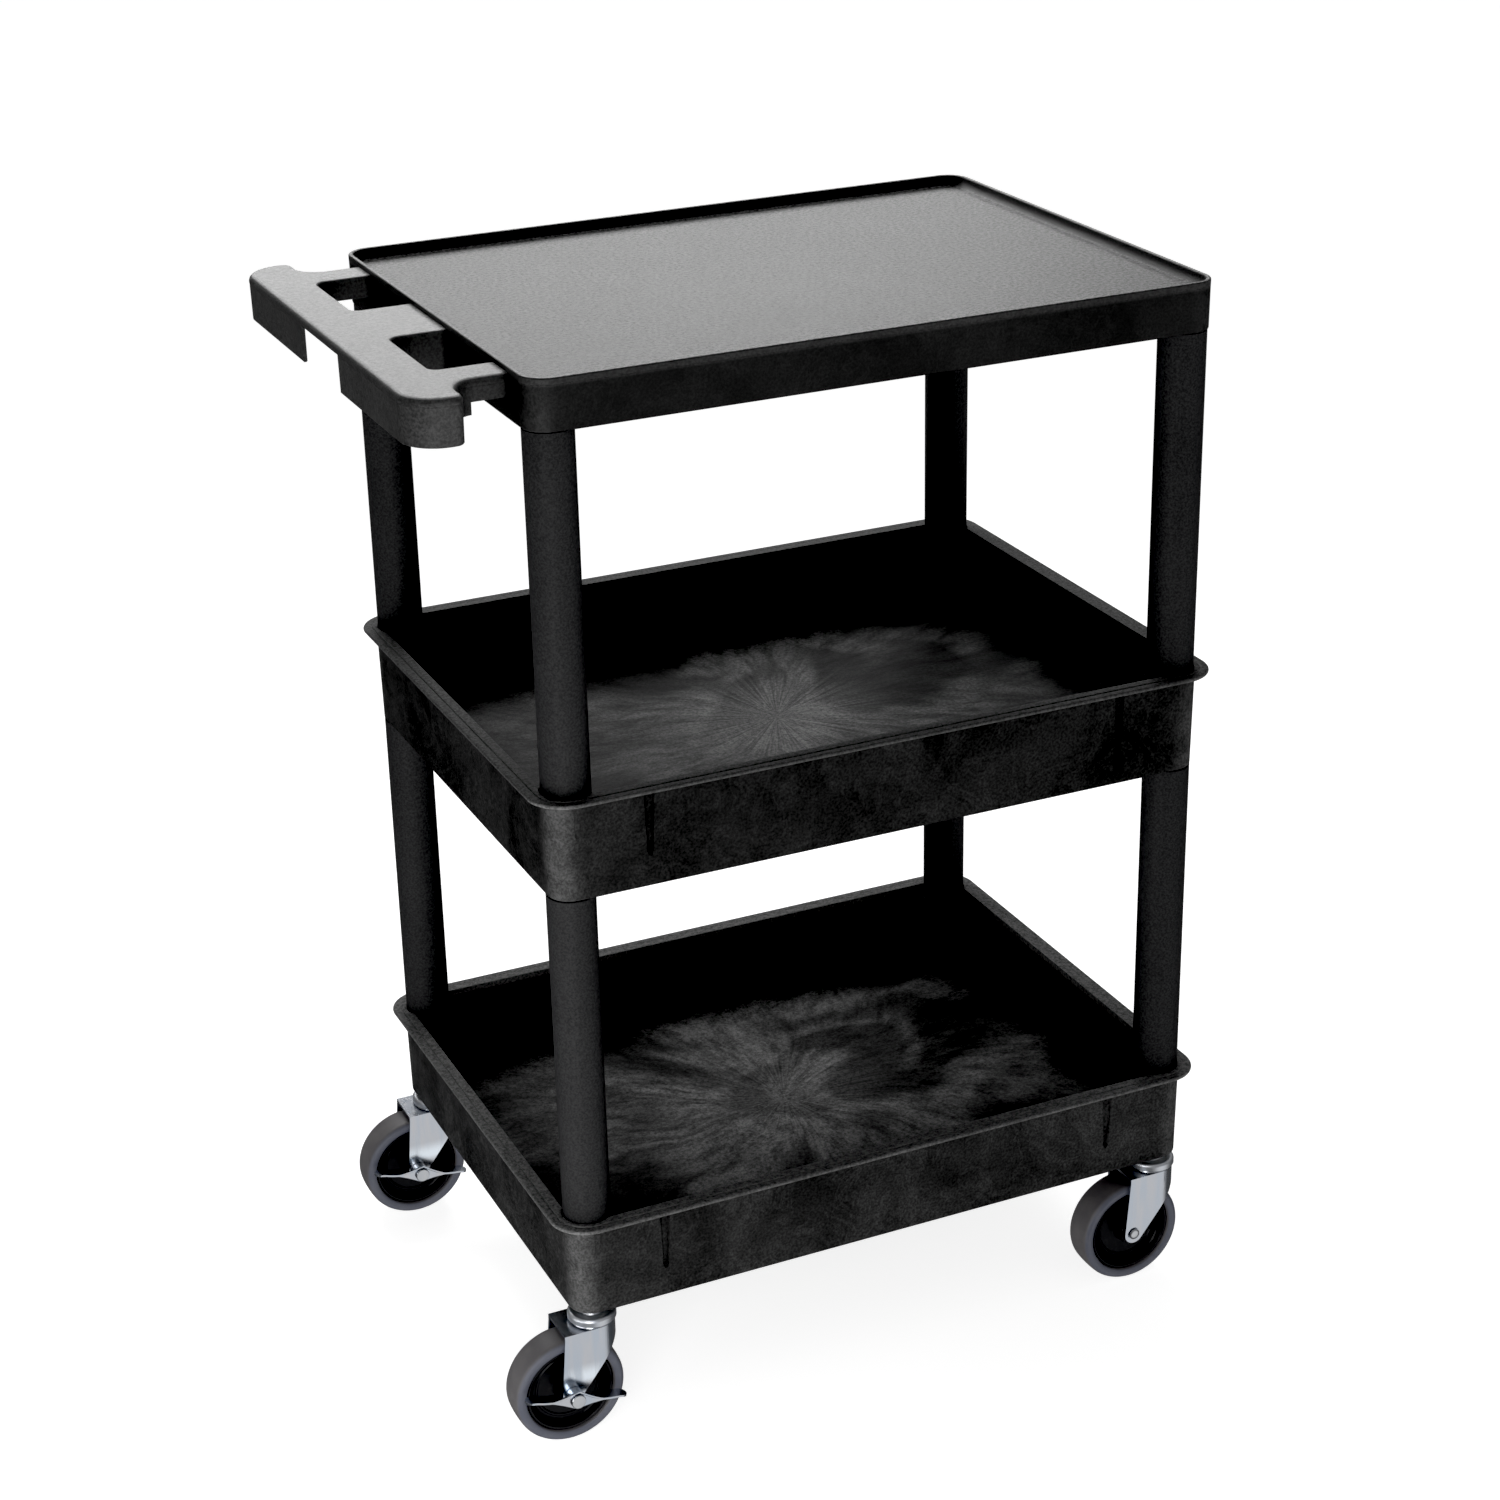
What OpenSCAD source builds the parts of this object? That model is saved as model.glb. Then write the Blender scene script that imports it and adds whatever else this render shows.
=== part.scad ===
// Rolling utility cart: a flat top shelf with a moulded push handle, two tub shelves,
// eight push-in tube legs and four swivel stem casters, two of them with a side-lock brake.
// +X points away from the handle, +Z is up, and the floor is at z = 0.
// The origin is on the floor, under the middle of the cart's whole plan, handle included.

/* [Shelves] */
// Length of the shelf walls, along X
shelf_l = 610; // [560:1:660]
// Width of the shelf walls, along Y
shelf_w = 457; // [430:1:500]
// Radius of the wall corners, on the same centres as the legs
corner_r = 22; // [21.8:0.1:24]
// Thickness of the moulded walls
wall_t = 5; // [4:0.1:5.5]
// Thickness of the deck and of the tub floors
panel_t = 5; // [4:0.1:6]
// Thickness of the stiffening ribs under the panels
rib_t = 3.5; // [3:0.1:5]

/* [Top shelf] */
// Height of the top shelf, from the skirt's lower edge to the lip's top
skirt_h = 43; // [40:0.5:50]
// Height of the lip above the deck
lip_h = 10; // [6:0.5:10]
// Thickness of the lip
lip_t = 4; // [4:0.1:6]

/* [Tubs] */
// Overall height of a tub
tub_h = 92; // [88:0.5:100]
// Depth inside a tub, from the rim's top to the floor
tub_depth = 70; // [64:0.5:72]
// How far the rim flange reaches out past the walls
rim_reach = 12; // [9:0.5:13]
// Thickness of the rim flange
rim_t = 4; // [3:0.1:5]

/* [Legs] */
// Height of the gap between one shelf and the next
leg_gap = 303.5; // [280:0.5:340]
// Outer radius of a leg
leg_r = 20.7; // [19.5:0.1:20.9]
// Wall thickness of a leg
leg_t = 2.6; // [2:0.1:3]
// Radius of the spigot at each end of a leg
spigot_r = 17; // [16:0.1:17.5]
// Length of the spigot
spigot_l = 33; // [28:0.5:34]
// How far under a tub's rim the leg above it stands
seat_drop = 8; // [5:0.5:9]

/* [Handle] */
// How far the handle reaches out from the shelf wall
handle_reach = 93; // [85:1:105]
// Width of the grip bar, along X
bar_w = 45; // [40:1:50]
// Half of the grip bar's length, along Y
bar_half = 226; // [212:1:228]
// Half of the distance between the outer sides of the two necks
neck_half = 186; // [182:1:190]
// Half of the width of the middle bridge between the hand holes
bridge_half = 46; // [36:1:50]
// Length of a hand hole, along Y
hand_l = 103; // [92:1:104]
// How far the handle's top lies under the lip's top
handle_drop = 4.5; // [3:0.5:8]
// Thickness of the handle's top slab
slab_t = 7; // [6:0.5:9]
// Thickness of the handle's skirt
handle_t = 4; // [3.5:0.1:5]
// Width of the notch in the middle of the grip's skirt
notch_w = 100; // [80:1:110]

/* [Casters] */
// Height of a caster, from the floor to the tub's underside
caster_h = 126; // [124:0.5:132]
// Radius of the wheel over its tyre
wheel_r = 50.8; // [48:0.1:51.5]
// Width of the tyre
tyre_w = 31.8; // [28:0.2:32]
// Depth of the tyre, from its tread to the wheel core
tyre_t = 10.3; // [8:0.1:12]
// How far the axle trails behind the swivel axis
trail = 28; // [24:0.5:30]
// Outer width of the fork
fork_w = 40; // [39:0.2:42]
// Thickness of the fork's sheet
fork_t = 2.7; // [2.2:0.1:3]
// Radius of the stem and of its king pin
stem_r = 5.5; // [5:0.1:5.8]
// Radius of the upper race cup
cup_r = 21.5; // [20.5:0.1:22]

/* [Brake] */
// How far a brake lever's wing reaches from the axle
wing_reach = 47.5; // [42:0.5:49]
// Lever tilt when the brake is off, with the wing nearer the cart's middle down
lever_tilt = 5; // [0:1:8]
// How far the lever stands out from the fork
lever_depth = 11.4; // [9:0.2:11.4]

/* [Hidden] */
$fn = 64;
// How far solids that join run into each other, and how far a cut runs past the face it leaves
eps = 0.01;
over = 1;
CORNERS = ["front_left", "back_left", "front_right", "back_right"];
NODES = concat(
    ["top_shelf", "middle_tub", "bottom_tub", "stem_sleeves"],
    [for (c = CORNERS) str("upper_leg_", c)],
    [for (c = CORNERS) str("lower_leg_", c)],
    [for (c = CORNERS) str("stem_", c)],
    [for (c = CORNERS) str("race_cup_", c)],
    [for (c = CORNERS) str("race_balls_", c)],
    [for (c = CORNERS) str("fork_", c)],
    [for (c = CORNERS) str("axle_", c)],
    [for (c = CORNERS) str("axle_nut_", c)],
    [for (c = CORNERS) str("axle_sleeve_", c)],
    [for (c = CORNERS) str("wheel_core_", c)],
    [for (c = CORNERS) str("tyre_", c)],
    ["brake_lever_front_left", "brake_lever_back_left"]
);
node = "all";

PLASTIC = [0.07, 0.07, 0.075];
LEG = [0.12, 0.12, 0.13];
ZINC = [0.72, 0.74, 0.78];
TYRE = [0.36, 0.36, 0.41];
NYLON = [0.5, 0.5, 0.48];

// The frame's origin is under the middle of the plan, and the shelves sit this far along X from it
frame_x = (handle_reach - rim_reach) / 2;

// Heights
bottom_z = caster_h;
bottom_rim_z = bottom_z + tub_h;
middle_z = bottom_rim_z + leg_gap;
middle_rim_z = middle_z + tub_h;
skirt_z = middle_rim_z + leg_gap;
lip_z = skirt_z + skirt_h;
deck_z = lip_z - lip_h;

// Legs and their sockets
leg_x = shelf_l / 2 - corner_r;
leg_y = shelf_w / 2 - corner_r;
column_inset = 0.5;
socket_gap = 0.1;
seat_gap = 0.2;
column_r = corner_r - column_inset;
socket_r = spigot_r + socket_gap;
seat_r = leg_r + seat_gap;
spigot_bore_r = spigot_r - leg_t;
top_spigot_l = spigot_l - 5;
leg_end_t = 4;

// Ribs under the panels
long_ribs_y = [-shelf_w / 4, 0, shelf_w / 4];
cross_ribs_x = [for (i = [-2:2]) i * shelf_l / 6];
deck_rib_h = 18;
floor_rib_h = 13;

// Handle plan
handle_x0 = -shelf_l / 2 - handle_reach;
bar_x1 = handle_x0 + bar_w;
handle_x1 = -shelf_l / 2;
outer_corner_r = 32;
inner_corner_r = 10;
blend_r = 20;
hand_corner_r = 8;
hand_overlap = 1;
handle_z = lip_z - handle_drop;
slab_z = handle_z - slab_t;
neck_step_y = 100;
neck_steps = [[8, 10], [17, 20]];

// Caster heights and widths
axle_z = wheel_r;
head_stack_h = 14;
fork_top_z = caster_h - head_stack_h;
race_gap = 0.5;
cup_z = fork_top_z + race_gap;
cup_h = 8.5;
cup_dome_h = 3;
pocket_r = 17.6;
ball_r = 2.35;
ball_ring_r = 13.5;
ball_count = 14;
pocket_h = 2 * ball_r + 0.35 - race_gap;
collar_r = 9.5;
foot_r = 8.5;
foot_h = 3;
stem_l = 36;
grip_r = 6.1;
grip_h = 3;
sleeve_r = 9;
sleeve_h = 40;
sleeve_bore_r = 6.2;
sleeve_top_t = 2;
sleeve_flange_r = 13;
sleeve_flange_h = 2;
fit_gap = 0.05;

// Fork
fork_half = fork_w / 2;
fork_back_x = -33;
fork_front_x = 12;
fork_shoulder_h = 9;
fork_shoulder_z = fork_top_z - fork_shoulder_h;
fork_shoulder_cut = 2;
fork_end_r = 9.5;
pin_hole_r = stem_r + 0.08;

// Axle, wheel and lever
axle_r = 4;
axle_sleeve_r = 5.5;
core_r = wheel_r - tyre_t;
core_half = 13;
core_rim_t = 4;
web_half = 3;
hub_r = 12;
hub_play = 0.7;
hub_half = fork_half - fork_t - hub_play;
tread_edge_r = 5;
head_r = 5.2;
lever_head_r = 6.6;
head_h = 2;
nut_r = 7.5;
nut_h = 6.4;
axle_tail = 8;
lever_gap = 0.3;
lever_t = 2;
lever_boss_r = 7.5;
lever_bore_r = axle_r + 0.08;
wing_t = 1.8;
wing_root_x = 14;
lever_diamond = [[-24, 0.9], [0, 9.4], [24, 0.9], [24, -0.9], [0, -8], [-24, -0.9]];

// The corner a node belongs to: the side along X, the side along Y, and whether it has a brake
function side_x(i) = i < 2 ? -1 : 1;
function side_y(i) = i % 2 == 0 ? -1 : 1;
function braked(i) = i < 2;
function wanted(name) = node == "all" || node == name;

// A flat plate with round corners, on the shelf's outline moved out by grow
module shelf_block(z, h, grow) {
    r = corner_r + grow;
    translate([0, 0, z]) linear_extrude(h) {
        square([shelf_l + 2 * grow, shelf_w - 2 * corner_r], center = true);
        square([shelf_l - 2 * corner_r, shelf_w + 2 * grow], center = true);
        for (sx = [-1, 1], sy = [-1, 1])
            translate([sx * leg_x, sy * leg_y]) circle(r);
    }
}

// Children at the four leg centres
module at_legs() {
    for (sx = [-1, 1], sy = [-1, 1])
        translate([sx * leg_x, sy * leg_y, 0]) children();
}

// The grid of ribs that hangs under a panel
module panel_ribs(z, h) {
    for (y = long_ribs_y)
        translate([-shelf_l / 2 + wall_t / 2, y - rib_t / 2, z - h])
            cube([shelf_l - wall_t, rib_t, h + eps]);
    for (x = cross_ribs_x)
        translate([x - rib_t / 2, -shelf_w / 2 + wall_t / 2, z - h])
            cube([rib_t, shelf_w - wall_t, h + eps]);
}

// A tub's walls, rim flange, floor, ribs and corner columns, with the sockets of the legs above
module tub_body(z) {
    floor_z = z + tub_h - tub_depth;
    difference() {
        union() {
            difference() {
                union() {
                    shelf_block(z, tub_h, 0);
                    shelf_block(z + tub_h - rim_t, rim_t, rim_reach);
                }
                shelf_block(floor_z, tub_depth + over, -wall_t);
                shelf_block(z - over, tub_h - tub_depth - panel_t + over, -wall_t);
            }
            panel_ribs(floor_z - panel_t, floor_rib_h);
            at_legs() translate([0, 0, z]) cylinder(r = column_r, h = tub_h - seat_drop);
        }
        at_legs() {
            translate([0, 0, z + tub_h - seat_drop]) cylinder(r = seat_r, h = seat_drop + over);
            translate([0, 0, z + tub_h - seat_drop - spigot_l - over])
                cylinder(r = socket_r, h = spigot_l + 2 * over);
        }
    }
}

// The handle's plan, drawn inset by g from its outline
module handle_plan(g) {
    corner_y = bar_half - outer_corner_r;
    difference() {
        union() {
            for (s = [-1, 1]) {
                translate([handle_x0 + outer_corner_r, s * corner_y]) circle(outer_corner_r - g);
                translate([bar_x1 - inner_corner_r, s * (bar_half - inner_corner_r)])
                    circle(inner_corner_r - g);
            }
            translate([handle_x0 + g, -corner_y]) square([bar_w - 2 * g, 2 * corner_y]);
            translate([handle_x0 + outer_corner_r, -bar_half + inner_corner_r])
                square([bar_w - outer_corner_r - g, 2 * (bar_half - inner_corner_r)]);
            translate([handle_x0 + outer_corner_r, -bar_half + g])
                square([bar_w - outer_corner_r - inner_corner_r, 2 * (bar_half - g)]);
            translate([bar_x1 - wall_t - g, -neck_half - blend_r])
                square([blend_r + wall_t, 2 * (neck_half + blend_r)]);
            translate([bar_x1 - wall_t - g, -neck_half + g])
                square([handle_x1 - bar_x1 + wall_t + g + over, 2 * (neck_half - g)]);
        }
        for (s = [-1, 1])
            translate([bar_x1 + blend_r, s * (neck_half + blend_r)]) circle(blend_r + g);
    }
}

// The two hand holes, grown by g on the three sides away from the shelf
module hand_holes(g) {
    x0 = bar_x1 - hand_overlap - g;
    r = hand_corner_r + g;
    for (s = [-1, 1])
        translate([0, s * (bridge_half + hand_l / 2)]) {
            translate([x0 + r, -hand_l / 2 - g]) square([handle_x1 - x0 - r, hand_l + 2 * g]);
            translate([x0, -hand_l / 2 - g + r]) square([r + over, hand_l + 2 * g - 2 * r]);
            for (t = [-1, 1]) translate([x0 + r, t * (hand_l / 2 + g - r)]) circle(r);
        }
}

// The push handle: a slab with a skirt, two hand holes and a notch in the grip's skirt
module handle() {
    difference() {
        union() {
            translate([0, 0, slab_z]) linear_extrude(slab_t) handle_plan(0);
            translate([0, 0, skirt_z]) linear_extrude(slab_z - skirt_z + eps) difference() {
                handle_plan(0);
                handle_plan(handle_t);
                translate([handle_x1 - handle_t, -neck_half]) square([2 * handle_t, 2 * neck_half]);
            }
            translate([0, 0, skirt_z]) linear_extrude(slab_z - skirt_z + eps)
                intersection() {
                    hand_holes(handle_t);
                    handle_plan(0);
                }
        }
        translate([0, 0, skirt_z - over]) linear_extrude(skirt_h + 2 * over) hand_holes(0);
        translate([handle_x0 - over, -notch_w / 2, skirt_z - over])
            cube([handle_t + 2 * over, notch_w, slab_z - skirt_z + over]);
        for (step = neck_steps, t = [-1, 1])
            translate([bar_x1 + step[0], t > 0 ? neck_step_y : -bar_half, skirt_z - over])
                cube([handle_x1 - bar_x1 - step[0], bar_half - neck_step_y, step[1] + over]);
    }
}

module top_shelf() {
    color(PLASTIC) difference() {
        union() {
            difference() {
                shelf_block(skirt_z, skirt_h, 0);
                shelf_block(deck_z, lip_h + over, -lip_t);
                shelf_block(skirt_z - over, skirt_h - lip_h - panel_t + over, -wall_t);
            }
            panel_ribs(deck_z - panel_t, deck_rib_h);
            at_legs() translate([0, 0, skirt_z]) cylinder(r = column_r, h = skirt_h - lip_h - panel_t / 2);
            handle();
        }
        at_legs() translate([0, 0, skirt_z - over]) cylinder(r = socket_r, h = top_spigot_l + over);
    }
}

module middle_tub() {
    color(PLASTIC) difference() {
        tub_body(middle_z);
        at_legs() translate([0, 0, middle_z - over]) cylinder(r = socket_r, h = spigot_l + over);
    }
}

module bottom_tub() {
    color(PLASTIC) difference() {
        tub_body(bottom_z);
        at_legs() {
            translate([0, 0, bottom_z - over])
                cylinder(r = sleeve_r + fit_gap, h = sleeve_h + fit_gap + over);
            translate([0, 0, bottom_z - over])
                cylinder(r = sleeve_flange_r + fit_gap, h = sleeve_flange_h + over);
        }
    }
}

// A leg from shoulder z0 to shoulder z1, with a spigot of its own length past each shoulder
module leg(z0, z1, top_spigot) {
    color(LEG) difference() {
        union() {
            translate([0, 0, z0]) cylinder(r = leg_r, h = z1 - z0);
            translate([0, 0, z0 - spigot_l]) cylinder(r = spigot_r, h = z1 - z0 + spigot_l + top_spigot);
        }
        translate([0, 0, z0 + leg_end_t]) cylinder(r = leg_r - leg_t, h = z1 - z0 - 2 * leg_end_t);
        translate([0, 0, z0 - spigot_l - over])
            cylinder(r = spigot_bore_r, h = z1 - z0 + spigot_l + top_spigot + 2 * over);
    }
}

module upper_leg() {
    leg(middle_rim_z - seat_drop, skirt_z, top_spigot_l);
}

module lower_leg() {
    leg(bottom_rim_z - seat_drop, middle_z, spigot_l);
}

// The plastic sockets that grip the caster stems
module stem_sleeves() {
    color(NYLON) at_legs() difference() {
        union() {
            translate([0, 0, bottom_z]) cylinder(r = sleeve_r, h = sleeve_h);
            translate([0, 0, bottom_z]) cylinder(r = sleeve_flange_r, h = sleeve_flange_h);
        }
        translate([0, 0, bottom_z - over]) cylinder(r = sleeve_bore_r, h = sleeve_h - sleeve_top_t + over);
    }
}

// The stem: a king pin with a closed foot, a hexagon collar and a friction grip ring
module stem() {
    foot_z = fork_top_z - fork_t - lever_gap - foot_h;
    color(ZINC) {
        translate([0, 0, foot_z]) cylinder(r = stem_r, h = bottom_z + stem_l - foot_z);
        translate([0, 0, foot_z]) cylinder(r = foot_r, h = foot_h);
        translate([0, 0, cup_z + cup_h]) cylinder(r = collar_r, h = bottom_z - cup_z - cup_h, $fn = 6);
        translate([0, 0, bottom_z + stem_l - 2 * grip_h]) cylinder(r = grip_r, h = grip_h);
    }
}

// The upper race: a domed cup that covers the balls
module race_cup() {
    color(ZINC) translate([0, 0, cup_z]) difference() {
        union() {
            cylinder(r = cup_r, h = cup_h - cup_dome_h);
            translate([0, 0, cup_h - cup_dome_h])
                cylinder(r1 = cup_r, r2 = cup_r - 2 * cup_dome_h, h = cup_dome_h);
        }
        translate([0, 0, -over]) cylinder(r = pocket_r, h = pocket_h + over);
        translate([0, 0, -over]) cylinder(r = stem_r + fit_gap, h = cup_h + 2 * over);
    }
}

module race_balls() {
    color(ZINC) for (i = [0:ball_count - 1])
        rotate(i * 360 / ball_count)
            translate([ball_ring_r, 0, fork_top_z + ball_r + fit_gap]) sphere(ball_r);
}

// One side plate of the fork, in the X-Z plane
module fork_side() {
    shoulder = [fork_front_x, fork_shoulder_z];
    to_axle = [-trail, axle_z] - shoulder;
    edge_dir = atan2(to_axle[1], to_axle[0]) + asin(fork_end_r / norm(to_axle)) + 90;
    difference() {
        union() {
            polygon([
                [fork_back_x, fork_top_z],
                [fork_front_x - fork_shoulder_cut, fork_top_z],
                shoulder,
                [-trail, axle_z] + fork_end_r * [cos(edge_dir), sin(edge_dir)],
                [-trail, axle_z],
                [-trail - fork_end_r, axle_z]
            ]);
            translate([-trail, axle_z]) circle(fork_end_r);
        }
        translate([-trail, axle_z]) circle(axle_r + fit_gap);
    }
}

module fork() {
    color(ZINC) difference() {
        union() {
            translate([0, 0, fork_top_z - fork_t]) linear_extrude(fork_t) {
                translate([fork_back_x, -fork_half]) square([-fork_back_x, fork_w]);
                circle(fork_half);
            }
            for (y = [-fork_half + fork_t, fork_half])
                translate([0, y, 0]) rotate([90, 0, 0]) linear_extrude(fork_t) fork_side();
        }
        translate([0, 0, fork_top_z - fork_t - over]) cylinder(r = pin_hole_r, h = fork_t + 2 * over);
    }
}

// Children on the axle's line, with +Z turned to point out of the braked side
module on_axle() {
    translate([-trail, 0, axle_z]) rotate([90, 0, 0]) children();
}

// The axle bolt, whose head stands at head_y from the fork's middle
module axle(brake) {
    head_y = fork_half + (brake ? lever_gap + lever_depth + lever_gap : 0);
    color(ZINC) on_axle() {
        translate([0, 0, -fork_half - axle_tail]) cylinder(r = axle_r, h = head_y + fork_half + axle_tail + eps);
        translate([0, 0, head_y]) cylinder(r = brake ? lever_head_r : head_r, h = head_h);
    }
}

module axle_nut() {
    color(ZINC) on_axle() translate([0, 0, -fork_half - nut_h]) difference() {
        cylinder(r = nut_r, h = nut_h, $fn = 6);
        translate([0, 0, -over]) cylinder(r = axle_r + fit_gap, h = nut_h + 2 * over);
    }
}

// The steel sleeve that the wheel turns on, clamped between the fork's sides
module axle_sleeve() {
    half = fork_half - fork_t;
    color(ZINC) on_axle() difference() {
        translate([0, 0, -half]) cylinder(r = axle_sleeve_r, h = 2 * half);
        translate([0, 0, -half - over]) cylinder(r = axle_r + fit_gap, h = 2 * (half + over));
    }
}

// A ring about the axle, between two radii and two equal distances from the wheel's middle
module wheel_ring(r0, r1, half) {
    translate([r0, -half]) square([r1 - r0, 2 * half]);
}

module wheel_core() {
    bore_r = axle_sleeve_r + fit_gap;
    color(PLASTIC) on_axle() rotate_extrude($fn = 96) {
        wheel_ring(bore_r, hub_r, hub_half);
        wheel_ring(bore_r, core_r, web_half);
        wheel_ring(core_r - core_rim_t, core_r, core_half);
    }
}

module tyre() {
    half = tyre_w / 2;
    color(TYRE) on_axle() rotate_extrude($fn = 96) {
        wheel_ring(core_r, wheel_r - tread_edge_r, half);
        wheel_ring(core_r, wheel_r, half - tread_edge_r);
        for (s = [-1, 1])
            translate([wheel_r - tread_edge_r, s * (half - tread_edge_r)]) circle(tread_edge_r, $fn = 32);
    }
}

// The rocking brake lever: a diamond face plate with a wing on each side and a boss on the axle
module brake_lever() {
    wing_w = lever_depth;
    color(ZINC) on_axle() rotate(-lever_tilt) translate([0, 0, fork_half + lever_gap]) difference() {
        union() {
            cylinder(r = lever_boss_r, h = lever_depth);
            translate([0, 0, lever_depth - lever_t]) linear_extrude(lever_t) polygon(lever_diamond);
            for (turn = [0, 180]) rotate(turn) {
                translate([wing_root_x, -wing_t / 2, 0])
                    cube([wing_reach - wing_w / 2 - wing_root_x, wing_t, wing_w]);
                translate([wing_reach - wing_w / 2, wing_t / 2, wing_w / 2])
                    rotate([90, 0, 0]) cylinder(r = wing_w / 2, h = wing_t);
            }
        }
        translate([0, 0, -over]) cylinder(r = lever_bore_r, h = lever_depth + 2 * over);
    }
}

// Children at the centre of corner i
module at_corner(i) {
    translate([frame_x + side_x(i) * leg_x, side_y(i) * leg_y, 0]) children();
}

if (wanted("top_shelf")) translate([frame_x, 0, 0]) top_shelf();
if (wanted("middle_tub")) translate([frame_x, 0, 0]) middle_tub();
if (wanted("bottom_tub")) translate([frame_x, 0, 0]) bottom_tub();
if (wanted("stem_sleeves")) translate([frame_x, 0, 0]) stem_sleeves();
for (i = [0:3]) {
    if (wanted(str("upper_leg_", CORNERS[i]))) at_corner(i) upper_leg();
    if (wanted(str("lower_leg_", CORNERS[i]))) at_corner(i) lower_leg();
    if (wanted(str("stem_", CORNERS[i]))) at_corner(i) stem();
    if (wanted(str("race_cup_", CORNERS[i]))) at_corner(i) race_cup();
    if (wanted(str("race_balls_", CORNERS[i]))) at_corner(i) race_balls();
    if (wanted(str("fork_", CORNERS[i]))) at_corner(i) fork();
    if (wanted(str("axle_", CORNERS[i]))) at_corner(i) axle(braked(i));
    if (wanted(str("axle_nut_", CORNERS[i]))) at_corner(i) axle_nut();
    if (wanted(str("axle_sleeve_", CORNERS[i]))) at_corner(i) axle_sleeve();
    if (wanted(str("wheel_core_", CORNERS[i]))) at_corner(i) wheel_core();
    if (wanted(str("tyre_", CORNERS[i]))) at_corner(i) tyre();
    if (braked(i) && wanted(str("brake_lever_", CORNERS[i]))) at_corner(i) brake_lever();
}
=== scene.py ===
"""Looks for the rolling utility cart: finished mesh pieces, materials, light and camera.

Shapes are drawn in millimetres and turned into metres when a piece is made.
A mesh is a pair (points, faces) until then. Shelf outlines are drawn about the middle of the shelves.
"""

import math

import bmesh
import bpy
from mathutils import Matrix, Vector


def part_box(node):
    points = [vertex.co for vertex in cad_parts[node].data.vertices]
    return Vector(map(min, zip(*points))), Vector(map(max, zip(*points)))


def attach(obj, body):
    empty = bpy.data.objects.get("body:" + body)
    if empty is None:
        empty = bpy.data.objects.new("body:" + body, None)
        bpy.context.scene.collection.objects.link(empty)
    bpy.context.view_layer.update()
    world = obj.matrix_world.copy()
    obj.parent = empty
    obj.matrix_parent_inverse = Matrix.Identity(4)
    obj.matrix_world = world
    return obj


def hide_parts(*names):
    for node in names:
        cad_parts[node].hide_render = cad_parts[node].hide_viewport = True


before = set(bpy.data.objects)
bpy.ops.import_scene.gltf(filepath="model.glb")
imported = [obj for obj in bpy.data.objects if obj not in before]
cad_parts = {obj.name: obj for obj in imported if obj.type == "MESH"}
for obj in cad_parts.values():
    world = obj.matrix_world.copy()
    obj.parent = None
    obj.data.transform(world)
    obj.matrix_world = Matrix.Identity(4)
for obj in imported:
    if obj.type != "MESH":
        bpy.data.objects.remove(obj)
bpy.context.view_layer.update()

MM = 0.001
CORNERS = ("front_left", "back_left", "front_right", "back_right")
BRAKED = ("front_left", "back_left")


def box_mm(node):
    """A CAD node's lowest and highest corners in millimetres."""
    low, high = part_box(node)
    return low / MM, high / MM


# Sizes and places that the frame gives
tub_low, tub_high = box_mm("middle_tub")
shelf_low, shelf_high = box_mm("top_shelf")
leg_low, leg_high = box_mm("upper_leg_front_right")
CENTRE_X = (tub_low.x + tub_high.x) / 2
HALF_L = shelf_high.x - CENTRE_X
HALF_W = shelf_high.y
LEG_X = (leg_low.x + leg_high.x) / 2 - CENTRE_X
LEG_Y = -(leg_low.y + leg_high.y) / 2
LEG_R = (leg_high.x - leg_low.x) / 2
CORNER_R = HALF_L - LEG_X
RIM_REACH = tub_high.x - shelf_high.x
TUB_H = tub_high.z - tub_low.z
SKIRT_H = shelf_high.z - shelf_low.z

# Shelf mouldings
WALL_T = 5
PANEL_T = 5
RIM_T = 4
SEAT_DROP = 8
SEAT_R = LEG_R + 0.2
COLUMN_R = CORNER_R - 0.5
COLUMN_FILLET = 7
SOCKET_R = 17.1
SPIGOT_R = 17
SPIGOT_L = 33
TOP_SPIGOT_L = 28
FLOOR_Z = 22
FLOOR_CENTRE_INSET = 45
DECK_Z = SKIRT_H - 10
DECK_CENTRE_INSET = 60
CENTRE_CORNER_R = 12
LIP_T = 4
RIB_T = 3.5
DECK_RIB_H = 18
FLOOR_RIB_H = 13

# Bores for the stem sleeves in the bottom tub
SLEEVE_BORE_R = 9.05
SLEEVE_BORE_H = 40.05
SLEEVE_FLANGE_R = 13.05
SLEEVE_FLANGE_H = 2.0

# Points round each corner of an outline: lead-in, arc and lead-out
LEAD_STEPS = 6
ARC_STEPS = 32


# ---------------------------------------------------------------- meshes

BEVEL_ANGLE = 32


def arc(cx, cy, r, start, end, steps):
    """Points along an arc from start to end, in degrees, both ends included."""
    points = []
    for i in range(steps + 1):
        a = math.radians(start + (end - start) * i / steps)
        points.append((cx + r * math.cos(a), cy + r * math.sin(a)))
    return points


def sweep(degrees, steps):
    """Sine and cosine of evenly spaced angles from 0 to the one given."""
    angles = [math.radians(degrees * i / steps) for i in range(steps + 1)]
    return [(math.sin(a), math.cos(a)) for a in angles]


def ring(outline, z):
    """A level outline at height z."""
    return [(x, y, z) for x, y in outline]


def loft(rings):
    """The skin through rings of equally many points, with flat ends."""
    count = len(rings[0])
    points = [p for r in rings for p in r]
    faces = []
    for a in range(0, len(points) - count, count):
        b = a + count
        for j in range(count):
            k = (j + 1) % count
            faces.append((a + j, a + k, b + k, b + j))
    faces.append(tuple(reversed(range(count))))
    faces.append(tuple(range(len(points) - count, len(points))))
    return points, faces


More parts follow.
